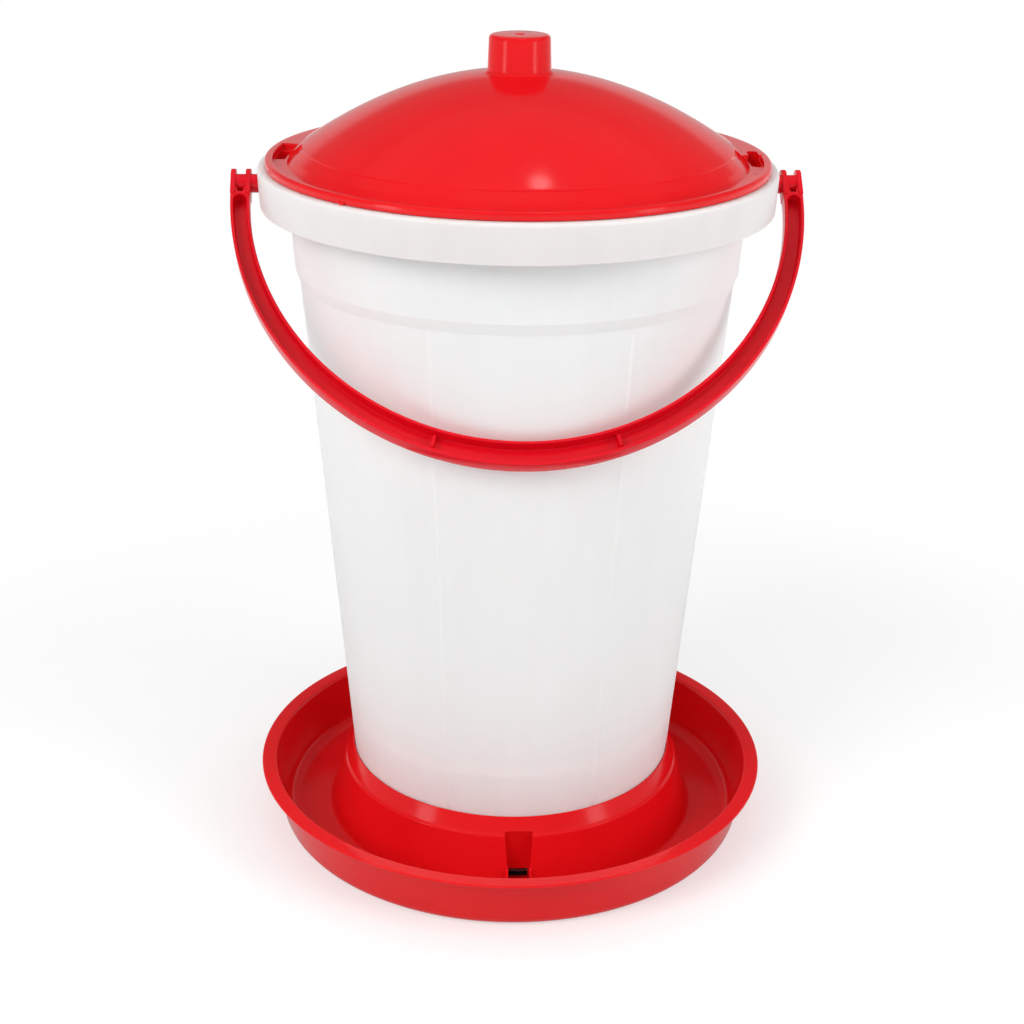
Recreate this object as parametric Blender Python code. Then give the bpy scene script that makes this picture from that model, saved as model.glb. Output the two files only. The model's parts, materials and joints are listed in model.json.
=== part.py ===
"""Poultry drinker: a bucket with a sealed lid and a bail, standing in a drinking tray.

Units are metres, +Z is up, and the front of the drinker faces -Y. The origin is the middle of
the tray's underside. An azimuth is 0 at the front and grows towards +X, anticlockwise from above.
Water leaves the bucket through a duct at the front, runs out at the foot of the tray's collar and
stops when the trough covers the mouth of the duct, because the lid keeps air out of the bucket.
"""

import bpy
import bmesh
from math import asin, cos, degrees, pi, radians, sin, sqrt
from mathutils import Vector

SEGMENTS = 60
CLEARANCE = 0.0003
EDGE_BREAK = 0.0008
OVERCUT = 0.0040

# Radius of the bucket's wall where it meets the collar
BUCKET_RADIUS_AT_COLLAR = 0.1119

# Tray
TRAY_LIP_RADIUS = 0.1784
TRAY_LIP_TOP = 0.0410
TRAY_LIP_THICKNESS = 0.0022
TRAY_RADIUS_UNDER_LIP = 0.1706
TRAY_FOOT_RADIUS = 0.1560
TRAY_FOOT_FILLET = 0.0088
TRAY_WALL = 0.0030
TROUGH_FLOOR = 0.0028
TROUGH_FILLET = 0.0100
COLLAR_SHOULDER = 0.0074
COLLAR_EDGE_RADIUS = BUCKET_RADIUS_AT_COLLAR + COLLAR_SHOULDER
COLLAR_FLARE = 0.0092
COLLAR_FOOT_RADIUS = COLLAR_EDGE_RADIUS + COLLAR_FLARE
COLLAR_FOOT_FILLET = 0.0035
COLLAR_EDGE_HEIGHT = 0.0400
COLLAR_TOP = 0.0515
COLLAR_WALL = 0.0023
SLEEVE_WALL = 0.0022
WELL_FLOOR = 0.0045
WELL_FLOOR_THICKNESS = 0.0022

# Water notch at the front of the collar
NOTCH_HALF_WIDTH_LOW = 0.0069
NOTCH_HALF_WIDTH_HIGH = 0.0093
NOTCH_LOW = 0.0100
NOTCH_HIGH = 0.0425
NOTCH_BACK_FLAT_TO = 0.0280
NOTCH_BACK_SWEEP = 0.0060
NOTCH_SIDE_WALL = 0.0022
FIN_WIDTH = 0.0021
FIN_TOP = 0.0188
FIN_PROUD = 0.0016
FIN_DEPTH = 0.0045
OUTLET_TOP = 0.0125
OUTLET_HALF_WIDTH = 0.0066

# Bucket
BUCKET_WALL = 0.0022
RIM_TOP = 0.4648
NECK_STRAIGHT_HEIGHT = 0.0263
NECK_STRAIGHT_FROM = RIM_TOP - NECK_STRAIGHT_HEIGHT
NECK_TAPER_HEIGHT = 0.0380
SHOULDER_HIGH = NECK_STRAIGHT_FROM - NECK_TAPER_HEIGHT
SHOULDER_HEIGHT = 0.0075
SHOULDER_LOW = SHOULDER_HIGH - SHOULDER_HEIGHT
BUCKET_FLARE = 0.0282
BUCKET_RADIUS_AT_SHOULDER = BUCKET_RADIUS_AT_COLLAR + BUCKET_FLARE
NECK_RADIUS = 0.1456
NECK_TAPER = 0.0027
NECK_RADIUS_LOW = NECK_RADIUS - NECK_TAPER
BUCKET_FLOOR = 0.0860
BUCKET_FLOOR_THICKNESS = 0.0025
FLOOR_FILLET = 0.0050
RIM_REACH = 0.0194
RIM_RADIUS = NECK_RADIUS + RIM_REACH
RIM_BAND_HEIGHT = 0.0242
RIM_BAND_BOTTOM = RIM_TOP - RIM_BAND_HEIGHT
RIM_BAND_DRAFT = 0.0012
RIM_FILLET = 0.0020
RIM_WALL = 0.0022
BUCKET_RIBS = 7
BUCKET_RIB_AZIMUTH = radians(26.8)
BUCKET_RIB_WIDTH = 0.0025
BUCKET_RIB_PROUD = 0.0004
BUCKET_RIB_END_GAP = 0.0045

# Duct from the bucket's floor to the tray, and its rubber seal
DUCT_HALF_WIDTH = 0.0120
DUCT_WALL = 0.0022
DUCT_FLOOR = 0.0011
DUCT_DEPTH = 0.0185
DUCT_MOUTH_HALF_WIDTH = 0.0062
SEAL_HALF_WIDTH = 0.0125
SEAL_TOP = 0.0185
SEAL_HOLE_MARGIN = 0.0004

# Twist lock between the bucket's skirt and the tray's sleeve
BASE_LOCK_AZIMUTHS = (radians(60), radians(180), radians(300))
BASE_LOCK_HALF_ANGLE = radians(9)
BASE_LUG_BOTTOM = 0.0122
BASE_LUG_THICKNESS = 0.0045
BASE_TAB_THICKNESS = 0.0040
BASE_STOP_ANGLE = radians(2.4)
BASE_LUG_TO_SLEEVE = 0.0006
BASE_TAB_TO_SKIRT = 0.0006

# Lid
LID_WALL = 0.0022
LID_LIP_INSET = 0.0051
LID_FLANGE_HEIGHT = 0.0052
LID_EDGE_FILLET = 0.0020
GROOVE_TO_NECK = 0.0004
GROOVE_INNER_RADIUS = NECK_RADIUS + GROOVE_TO_NECK
GROOVE_WIDTH = 0.0089
GROOVE_OUTER_RADIUS = GROOVE_INNER_RADIUS + GROOVE_WIDTH
LEDGE_SLOPE = 0.0032
LEDGE_RADIUS = GROOVE_INNER_RADIUS - LEDGE_SLOPE
LEDGE_RISE = 0.0020
LEDGE_WIDTH = 0.0053
DOME_FOOT_RADIUS = LEDGE_RADIUS - LEDGE_WIDTH
DOME_FOOT_RISE = 0.0041
DOME_HEIGHT = 0.0465
DOME_RINGS = 9
DOME_INNER_RINGS = 5
KNOB_RADIUS = 0.0192
KNOB_FOOT_RADIUS = 0.0201
KNOB_HEIGHT = 0.0219
KNOB_EDGE_FILLET = 0.0026
KNOB_FOOT_FILLET = 0.0036
KNOB_DIMPLE_RADIUS = 0.0034
KNOB_DIMPLE_DEPTH = 0.0006
LID_SKIRT_DEPTH = 0.0126
LID_SKIRT_WALL = 0.0014
GROOVE_FLOOR_THICKNESS = 0.0021
GROOVE_FROM = radians(-103.0)
GROOVE_TO = radians(90.0)
RECESS_DEPTH = 0.0009
RECESSES = ((GROOVE_FROM, radians(-83.0)), (radians(73.0), GROOVE_TO))
FLANGE_CORE_DEPTH = 0.0030
FLANGE_CORE_GAP = radians(1.5)
LEDGE_SLOTS = ((radians(-90.5), radians(-81.5)), (radians(70), radians(85)))
LEDGE_SLOT_DEPTH = 0.0066
LEDGE_SLOT_BACK_RADIUS = LEDGE_RADIUS - LEDGE_SLOT_DEPTH
LEDGE_SLOT_FLOOR_RISE = -0.0012
LEDGE_SLOT_WALL_ANGLE = radians(1.2)

# Hooks of the lid, the pockets inside them and the slots of the rim that they turn in
LEFT_HOOK = (radians(-95.3), radians(4.8))
RIGHT_HOOK = (radians(88.9), radians(6.4))
HOOK_TO_GROOVE = 0.0001
HOOK_INNER_RADIUS = GROOVE_INNER_RADIUS + HOOK_TO_GROOVE
HOOK_WIDTH = 0.0098
HOOK_OUTER_RADIUS = HOOK_INNER_RADIUS + HOOK_WIDTH
HOOK_WALL = 0.0014
HOOK_TONGUE_REACH = 0.0031
HOOK_TONGUE_RADIUS = HOOK_OUTER_RADIUS + HOOK_TONGUE_REACH
HOOK_TONGUE_THICKNESS = 0.0024
POCKET_FLOOR = 0.0013
ROUND_POCKET_STEPS = 8
RIM_SLOT_SPARE = 0.0005
RIM_SLOT_SPARE_ANGLE = radians(0.8)
LID_OPENING_TURN = radians(12)

# Lid gasket
GASKET_HEIGHT = 0.0040
GASKET_ROUNDING = 0.0009
GASKET_DROP = 0.0058
GASKET_GROOVE_DEPTH = 0.0020

# Handle
PIVOT_BELOW_RIM = 0.0133
PIVOT_HEIGHT = RIM_TOP - PIVOT_BELOW_RIM
HANDLE_TO_RIM = 0.0044
HANDLE_THICKNESS = 0.0110
HANDLE_SIDE_WIDTH = 0.0123
HANDLE_GRIP_WIDTH = 0.0157
HANDLE_LEG = 0.0110
HANDLE_DROP = 0.1763
HANDLE_STATIONS = 48
CHANNEL_WALL = 0.0020
CHANNEL_DEPTH = 0.0080
CHANNEL_BELOW_HEAD = 0.0030
CHANNEL_END_STEPS = 5
HANDLE_RIB_ANGLES = (radians(-18.5), radians(18.5))
HANDLE_RIB_THICKNESS = 0.0022
HANDLE_RIB_HEIGHT = 0.0062
HEAD_RADIUS = 0.0078
HEAD_THICKNESS = 0.0126
HEAD_REACH = 0.0112
HEAD_PROUD = 0.0002
CHEEK_THICKNESS = 0.0031
HEAD_WEB = 0.0026
HEAD_VALLEY = 0.0035
PIN_RADIUS = 0.0059
PIN_TO_NECK = 0.0104
PIN_SIDES = 24
PIN_CLEARANCE = 0.0004
PIN_END_CLEARANCE = 0.0008
BOSS_WALL = 0.0015

RED = (0.80, 0.012, 0.016, 1.0)
MILKY = (0.86, 0.86, 0.85, 1.0)
BLACK = (0.03, 0.03, 0.03, 1.0)


def clear_scene():
    for obj in list(bpy.data.objects):
        bpy.data.objects.remove(obj, do_unlink=True)


def plastic(name, colour, roughness, transmission=0.0):
    material = bpy.data.materials.new(name)
    material.use_nodes = True
    shader = material.node_tree.nodes["Principled BSDF"]
    shader.inputs["Base Color"].default_value = colour
    shader.inputs["Roughness"].default_value = roughness
    shader.inputs["Transmission Weight"].default_value = transmission
    material.diffuse_color = colour
    return material


def fillet(centre_r, centre_z, radius, start, end, steps=3):
    """Points of an arc in a turned outline. Angle 0 points outward and 90 up, in degrees."""
    points = []
    for i in range(steps + 1):
        angle = radians(start + (end - start) * i / steps)
        points.append((centre_r + radius * cos(angle), centre_z + radius * sin(angle)))
    return points


def on_line(low, high, z):
    """Radius at height z on the straight line through the points low and high, each (r, z)."""
    return low[0] + (high[0] - low[0]) * (z - low[1]) / (high[1] - low[1])


def spot(radius, azimuth, z):
    return Vector((radius * sin(azimuth), -radius * cos(azimuth), z))


def link(name, bm, material=None, smooth_angle=30):
    bmesh.ops.remove_doubles(bm, verts=bm.verts, dist=1e-6)
    bmesh.ops.recalc_face_normals(bm, faces=bm.faces)
    mesh = bpy.data.meshes.new(name)
    bm.to_mesh(mesh)
    bm.free()
    mesh.shade_smooth()
    mesh.set_sharp_from_angle(angle=radians(smooth_angle))
    obj = bpy.data.objects.new(name, mesh)
    bpy.context.scene.collection.objects.link(obj)
    if material:
        mesh.materials.append(material)
    return obj


def azimuth_stops(start, end):
    """Both ends, and between them the azimuths where every turned piece has its facet edges."""
    step = 2 * pi / SEGMENTS
    shared = [i * step for i in range(-SEGMENTS, SEGMENTS + 1)]
    return [start] + [a for a in shared if start + step / 8 < a < end - step / 8] + [end]


def turned(name, outline, start=0.0, end=2 * pi, material=None):
    """A closed outline of (r, z) points turned round Z, whole or as a sector with end faces."""
    whole = end - start > 2 * pi - 1e-6
    bm = bmesh.new()
    rings = [[bm.verts.new(spot(r, azimuth, z)) for r, z in outline]
             for azimuth in azimuth_stops(start, end)]
    for ring, other in zip(rings, rings[1:]):
        for j in range(len(outline)):
            k = (j + 1) % len(outline)
            if outline[j][0] or outline[k][0]:
                bm.faces.new((ring[j], ring[k], other[k], other[j]))
    if not whole:
        bm.faces.new(rings[0])
        bm.faces.new(rings[-1])
    bmesh.ops.remove_doubles(bm, verts=bm.verts, dist=1e-6)
    bmesh.ops.dissolve_degenerate(bm, dist=1e-7, edges=bm.edges)
    return link(name, bm, material)


def box_outline(inner, outer, bottom, top):
    return [(inner, bottom), (outer, bottom), (outer, top), (inner, top)]


def lofted(name, sections, material=None):
    """Equal closed loops of points joined in order, with the first and the last as end faces."""
    bm = bmesh.new()
    loops = [[bm.verts.new(point) for point in section] for section in sections]
    count = len(loops[0])
    for loop, following in zip(loops, loops[1:]):
        for j in range(count):
            k = (j + 1) % count
            bm.faces.new((loop[j], loop[k], following[k], following[j]))
    bm.faces.new(loops[0])
    bm.faces.new(loops[-1])
    return link(name, bm, material)


def block(name, low, high):
    (x0, y0, z0), (x1, y1, z1) = low, high
    corners = [(x0, y0), (x1, y0), (x1, y1), (x0, y1)]
    return lofted(name, [[(x, y, z) for x, y in corners] for z in (z0, z1)])


def rod(name, radius, start, end, centre, axis, sides=PIN_SIDES):
    """A cylinder along X or Z from start to end. The centre gives its two other coordinates."""
    sections = []
    for along in (start, end):
        section = []
        for i in range(sides):
            u = centre[0] + radius * cos(2 * pi * i / sides)
            v = centre[1] + radius * sin(2 * pi * i / sides)
            section.append((along, u, v) if axis == "X" else (u, v, along))
        sections.append(section)
    return lofted(name, sections)


def combine(target, tool, operation):
    tool.hide_render = True
    tool.display_type = "WIRE"
    modifier = target.modifiers.new(f"{operation.lower()} {tool.name}", "BOOLEAN")
    modifier.operation = operation
    modifier.solver = "MANIFOLD"
    modifier.object = tool


def cut(target, tool):
    combine(target, tool, "DIFFERENCE")


def add(target, tool):
    combine(target, tool, "UNION")


def skirt_radius(z):
    """Outer radius of the bucket's tapered wall, from its foot to its shoulder."""
    low = (BUCKET_RADIUS_AT_COLLAR, COLLAR_TOP)
    return on_line(low, (BUCKET_RADIUS_AT_SHOULDER, SHOULDER_LOW), z)


def skirt_bottom():
    return WELL_FLOOR + CLEARANCE


def sleeve_radius():
    """Inner radius of the tray's sleeve, which the bucket's skirt stands in."""
    return skirt_radius(COLLAR_TOP) + CLEARANCE


def collar_radius(z):
    """Outer radius of the collar's wall between its foot and its edge."""
    return on_line((COLLAR_FOOT_RADIUS, TROUGH_FLOOR), (COLLAR_EDGE_RADIUS, COLLAR_EDGE_HEIGHT), z)


def seat_radius():
    """Inner radius of the bucket's neck, which the lid's gasket presses on."""
    return NECK_RADIUS - BUCKET_WALL


def trough_outline():
    """The tray's outline from the foot of the collar out to the lip and back to the underside."""
    under = TRAY_LIP_TOP - TRAY_LIP_THICKNESS
    half = TRAY_LIP_THICKNESS / 2
    wall_low = (TRAY_FOOT_RADIUS + TRAY_FOOT_FILLET, TRAY_FOOT_FILLET)
    wall_high = (TRAY_RADIUS_UNDER_LIP, under)
    bend_top = TROUGH_FLOOR + TROUGH_FILLET
    bend_radius = on_line(wall_low, wall_high, bend_top) - TRAY_WALL
    points = [(COLLAR_FOOT_RADIUS + COLLAR_FOOT_FILLET, TROUGH_FLOOR)]
    points += fillet(bend_radius - TROUGH_FILLET, bend_top, TROUGH_FILLET, -90, 0, 4)
    points += [(TRAY_RADIUS_UNDER_LIP - TRAY_WALL, under)]
    points += [(TRAY_RADIUS_UNDER_LIP - TRAY_WALL + half, TRAY_LIP_TOP)]
    points += fillet(TRAY_LIP_RADIUS - half, TRAY_LIP_TOP - half, half, 90, -90, 4)
    points += [(TRAY_RADIUS_UNDER_LIP + half, under), (TRAY_RADIUS_UNDER_LIP, under - half)]
    points += fillet(TRAY_FOOT_RADIUS, TRAY_FOOT_FILLET, TRAY_FOOT_FILLET, 0, -90, 4)
    return points


def tray_outline():
    sleeve = sleeve_radius()
    sleeve_outer = sleeve + SLEEVE_WALL
    wall_top = COLLAR_EDGE_HEIGHT - 2 * EDGE_BREAK
    foot_top = TROUGH_FLOOR + COLLAR_FOOT_FILLET
    bend = COLLAR_FOOT_FILLET / 3
    hollow_edge = COLLAR_EDGE_HEIGHT - COLLAR_WALL
    well_under = WELL_FLOOR - WELL_FLOOR_THICKNESS
    points = [(0, WELL_FLOOR), (sleeve, WELL_FLOOR), (sleeve, COLLAR_TOP - EDGE_BREAK)]
    points += [(sleeve + EDGE_BREAK, COLLAR_TOP)]
    points += [(COLLAR_EDGE_RADIUS - 2 * EDGE_BREAK, COLLAR_EDGE_HEIGHT + 2 * EDGE_BREAK)]
    points += [(COLLAR_EDGE_RADIUS, COLLAR_EDGE_HEIGHT), (collar_radius(wall_top), wall_top)]
    points += [(collar_radius(foot_top), foot_top)]
    points += [(COLLAR_FOOT_RADIUS + bend, TROUGH_FLOOR + bend)]
    points += trough_outline()
    points += [(collar_radius(0) - COLLAR_WALL, 0)]
    points += [(collar_radius(hollow_edge) - COLLAR_WALL, hollow_edge)]
    points += [(sleeve_outer, COLLAR_EDGE_HEIGHT + EDGE_BREAK), (sleeve_outer, well_under)]
    points += [(0, well_under)]
    return points


def notch_half_width(z):
    return on_line((NOTCH_HALF_WIDTH_LOW, NOTCH_LOW), (NOTCH_HALF_WIDTH_HIGH, NOTCH_HIGH), z)


def notch_cutter():
    """The channel through the front of the collar: narrower below, with a back that curves out."""
    back = sleeve_radius() + SLEEVE_WALL + CLEARANCE
    beyond = COLLAR_FOOT_RADIUS + 2 * OVERCUT
    above = COLLAR_TOP + OVERCUT
    swept_to = COLLAR_TOP - COLLAR_WALL * 2
    side = [(-beyond, TROUGH_FLOOR), (-back, TROUGH_FLOOR)]
    for i in range(4):
        turn = pi / 2 * i / 3
        y = -back - NOTCH_BACK_SWEEP * (1 - cos(turn))
        side.append((y, NOTCH_BACK_FLAT_TO + (swept_to - NOTCH_BACK_FLAT_TO) * sin(turn)))
    side += [(-beyond, above)]
    sections = [[(sign * notch_half_width(z), y, z) for y, z in side] for sign in (-1, 1)]
    return lofted("notch cutter", sections)


def notch_walls():
    """Side walls of the notch, which close the hollow of the collar on both sides of it."""
    middle = COLLAR_WALL / 2
    low, high = TROUGH_FLOOR - middle, COLLAR_EDGE_HEIGHT - middle
    inner = sleeve_radius() + SLEEVE_WALL / 2
    outline = [(inner, low), (collar_radius(low) - middle, low), (collar_radius(high) - middle, high)]
    outline += [(inner, COLLAR_EDGE_HEIGHT + COLLAR_WALL)]
    half_angle = asin((NOTCH_HALF_WIDTH_HIGH + NOTCH_SIDE_WALL) / sleeve_radius())
    return turned("notch walls", outline, -half_angle, half_angle)


def fin(sign):
    inner, outer = notch_half_width(NOTCH_LOW), notch_half_width(NOTCH_LOW) + FIN_WIDTH
    faces = []
    for z in (TROUGH_FLOOR / 2, FIN_TOP):
        front = -collar_radius(z) - FIN_PROUD
        back = front + FIN_DEPTH
        faces.append([(sign * x, y, z) for x, y in
                      ((inner, front), (outer, front), (outer, back), (inner, back))])
    return lofted(f"fin {'left' if sign < 0 else 'right'}", faces)


def make_tray(material):
    tray = turned("tray", tray_outline(), material=material)
    add(tray, notch_walls())
    cut(tray, notch_cutter())
    add(tray, fin(-1))
    add(tray, fin(1))
    sleeve = sleeve_radius()
    outlet_low = (-OUTLET_HALF_WIDTH, -sleeve - SLEEVE_WALL - OVERCUT, WELL_FLOOR + CLEARANCE)
    cut(tray, block("outlet cutter", outlet_low, (OUTLET_HALF_WIDTH, -sleeve + OVERCUT, OUTLET_TOP)))
    tab_bottom = BASE_LUG_BOTTOM + BASE_LUG_THICKNESS + CLEARANCE
    tab_top = tab_bottom + BASE_TAB_THICKNESS
    inner, outer = skirt_radius(tab_top) + BASE_TAB_TO_SKIRT, sleeve + SLEEVE_WALL / 2
    gap = CLEARANCE / sleeve
    for number, azimuth in enumerate(BASE_LOCK_AZIMUTHS, 1):
        start, end = azimuth - BASE_LOCK_HALF_ANGLE - BASE_STOP_ANGLE, azimuth + BASE_LOCK_HALF_ANGLE
        tab = box_outline(inner, outer, tab_bottom, tab_top)
        add(tray, turned(f"tray tab {number}", tab, start, end))
        low, high = WELL_FLOOR - WELL_FLOOR_THICKNESS / 2, tab_bottom + BASE_TAB_THICKNESS / 2
        stop = box_outline(inner + CLEARANCE, outer, low, high)
        add(tray, turned(f"tray stop {number}", stop, start + gap, start + BASE_STOP_ANGLE - gap))
    return tray


def bucket_outline():
    bottom = skirt_bottom()
    floor_under = BUCKET_FLOOR - BUCKET_FLOOR_THICKNESS
    band_foot = RIM_RADIUS - RIM_BAND_DRAFT
    seat = seat_radius()
    under = RIM_TOP - RIM_WALL
    points = [(seat, RIM_TOP - EDGE_BREAK), (seat + EDGE_BREAK, RIM_TOP)]
    points += fillet(RIM_RADIUS - RIM_FILLET, RIM_TOP - RIM_FILLET, RIM_FILLET, 90, 0, 3)
    points += [(band_foot, RIM_BAND_BOTTOM + EDGE_BREAK), (band_foot - EDGE_BREAK, RIM_BAND_BOTTOM)]
    points += [(band_foot - RIM_WALL, RIM_BAND_BOTTOM), (RIM_RADIUS - RIM_WALL, under)]
    points += [(NECK_RADIUS, under), (NECK_RADIUS, NECK_STRAIGHT_FROM)]
    points += [(NECK_RADIUS_LOW, SHOULDER_HIGH), (BUCKET_RADIUS_AT_SHOULDER, SHOULDER_LOW)]
    points += [(skirt_radius(bottom), bottom), (skirt_radius(bottom) - BUCKET_WALL, bottom)]
    points += [(skirt_radius(floor_under) - BUCKET_WALL, floor_under), (0, floor_under)]
    points += [(0, BUCKET_FLOOR)]
    corner = skirt_radius(BUCKET_FLOOR + FLOOR_FILLET) - BUCKET_WALL - FLOOR_FILLET
    points += fillet(corner, BUCKET_FLOOR + FLOOR_FILLET, FLOOR_FILLET, -90, 0, 2)
    points += [(BUCKET_RADIUS_AT_SHOULDER - BUCKET_WALL, SHOULDER_LOW)]
    points += [(NECK_RADIUS_LOW - BUCKET_WALL, SHOULDER_HIGH), (seat, NECK_STRAIGHT_FROM)]
    return points


def bucket_rib(number):
    """A flat raised strip down the outside of the bucket, from the shoulder to the collar."""
    azimuth = BUCKET_RIB_AZIMUTH + 2 * pi * number / BUCKET_RIBS
    across = Vector((cos(azimuth), sin(azimuth), 0)) * BUCKET_RIB_WIDTH / 2
    sections = []
    for z in (COLLAR_TOP + BUCKET_RIB_END_GAP, SHOULDER_LOW - BUCKET_RIB_END_GAP):
        outer = spot(skirt_radius(z) + BUCKET_RIB_PROUD, azimuth, z)
        inner = spot(skirt_radius(z) - BUCKET_WALL / 2, azimuth, z)
        sections.append([outer - across, outer + across, inner + across, inner - across])
    return lofted(f"bucket rib {number + 1}", sections)


def duct_parts():
    """The closed duct inside the skirt: its body, its bore and its mouth through the skirt."""
    bottom = skirt_bottom()
    front = -skirt_radius(bottom) + BUCKET_WALL / 2
    body = block("duct body", (-DUCT_HALF_WIDTH, front, bottom),
                 (DUCT_HALF_WIDTH, front + DUCT_DEPTH, BUCKET_FLOOR - BUCKET_FLOOR_THICKNESS / 2))
    half = DUCT_HALF_WIDTH - DUCT_WALL
    bore_bottom = bottom + DUCT_FLOOR
    bore = block("duct bore", (-half, front + DUCT_WALL / 2 + CLEARANCE, bore_bottom),
                 (half, front + DUCT_DEPTH - DUCT_WALL, BUCKET_FLOOR + OVERCUT))
    half = DUCT_MOUTH_HALF_WIDTH
    mouth = block("duct mouth", (-half, front - BUCKET_WALL - OVERCUT, bore_bottom + CLEARANCE),
                  (half, front + DUCT_DEPTH / 2, OUTLET_TOP - CLEARANCE))
    return body, bore, mouth


def rim_slot(name, azimuth, half_angle):
    """The slot that a hook turns in, with a wide end that lets its tongue out upwards."""
    reach = half_angle + RIM_SLOT_SPARE_ANGLE
    start, end = azimuth - reach, azimuth + LID_OPENING_TURN + reach
    wide_from = end - 2 * reach
    inner = (NECK_RADIUS + HOOK_INNER_RADIUS) / 2
    narrow, wide = HOOK_OUTER_RADIUS + RIM_SLOT_SPARE, HOOK_TONGUE_RADIUS + RIM_SLOT_SPARE
    plan = [spot(inner, a, 0) for a in azimuth_stops(start, end)]
    plan += [spot(wide, a, 0) for a in reversed(azimuth_stops(wide_from, end))]
    plan += [spot(narrow, a, 0) for a in reversed(azimuth_stops(start, wide_from))]
    heights = (RIM_TOP - RIM_WALL - OVERCUT / 2, RIM_TOP + OVERCUT / 2)
    return lofted(f"rim slot {name}", [[(p.x, p.y, z) for p in plan] for z in heights])


def pin_tip():
    """Distance of the end of each of the handle's pins from the bucket's axis."""
    return NECK_RADIUS + PIN_TO_NECK


def make_bucket(material):
    bucket = turned("bucket", bucket_outline(), material=material)
    body, bore, mouth = duct_parts()
    add(bucket, body)
    cut(bucket, bore)
    cut(bucket, mouth)
    top = BASE_LUG_BOTTOM + BASE_LUG_THICKNESS
    inner, outer = skirt_radius(BASE_LUG_BOTTOM) - BUCKET_WALL / 2, sleeve_radius() - BASE_LUG_TO_SLEEVE
    for number, azimuth in enumerate(BASE_LOCK_AZIMUTHS, 1):
        lug = box_outline(inner, outer, BASE_LUG_BOTTOM, top)
        start, end = azimuth - BASE_LOCK_HALF_ANGLE, azimuth + BASE_LOCK_HALF_ANGLE
        add(bucket, turned(f"bucket lug {number}", lug, start, end))
    for number in range(BUCKET_RIBS):
        add(bucket, bucket_rib(number))
    near, far = NECK_RADIUS - BUCKET_WALL / 2, RIM_RADIUS - RIM_BAND_DRAFT - RIM_WALL / 2
    hole = PIN_RADIUS + PIN_CLEARANCE
    centre = (0.0, PIVOT_HEIGHT)
    for sign, side in ((-1, "left"), (1, "right")):
        add(bucket, rod(f"boss {side}", hole + BOSS_WALL, sign * near, sign * far, centre, "X"))
        hole_end = sign * (pin_tip() - PIN_END_CLEARANCE)
        cut(bucket, rod(f"pin hole {side}", hole, hole_end, sign * (RIM_RADIUS + OVERCUT), centre, "X"))
    cut(bucket, rim_slot("left", *LEFT_HOOK))
    cut(bucket, rim_slot("right", *RIGHT_HOOK))
    return bucket


def make_outlet_seal(material):
    """A curved rubber frame round the duct's mouth, pressed between the skirt and the sleeve."""
    bottom = skirt_bottom()
    outer = sleeve_radius() - CLEARANCE
    outline = [(skirt_radius(bottom) + CLEARANCE, bottom), (outer, bottom), (outer, SEAL_TOP)]
    outline += [(skirt_radius(SEAL_TOP) + CLEARANCE, SEAL_TOP)]
    half_angle = asin(SEAL_HALF_WIDTH / outer)
    seal = turned("outlet_seal", outline, -half_angle, half_angle, material)
    half = DUCT_MOUTH_HALF_WIDTH + SEAL_HOLE_MARGIN
    low = (-half, -outer - OVERCUT, bottom + DUCT_FLOOR)
    cut(seal, block("seal hole", low, (half, -outer + 2 * OVERCUT, OUTLET_TOP)))
    return seal


def flange_bottom():
    return RIM_TOP + CLEARANCE


def flange_top():
    return flange_bottom() + LID_FLANGE_HEIGHT


def lid_radius():
    return GROOVE_OUTER_RADIUS + LID_LIP_INSET


def dome_height(radius):
    foot = flange_top() + LEDGE_RISE + DOME_FOOT_RISE
    return foot + DOME_HEIGHT * (1 - (radius / DOME_FOOT_RADIUS) ** 2)


def dome_points(inner, outer, rings, drop=0.0):
    return [(inner + (outer - inner) * i / rings, dome_height(inner + (outer - inner) * i / rings) - drop)
            for i in range(rings + 1)]


def lid_plug_radius():
    """Outer radius of the lid's skirt, which hangs inside the bucket's neck."""
    return seat_radius() - 2 * CLEARANCE


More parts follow.
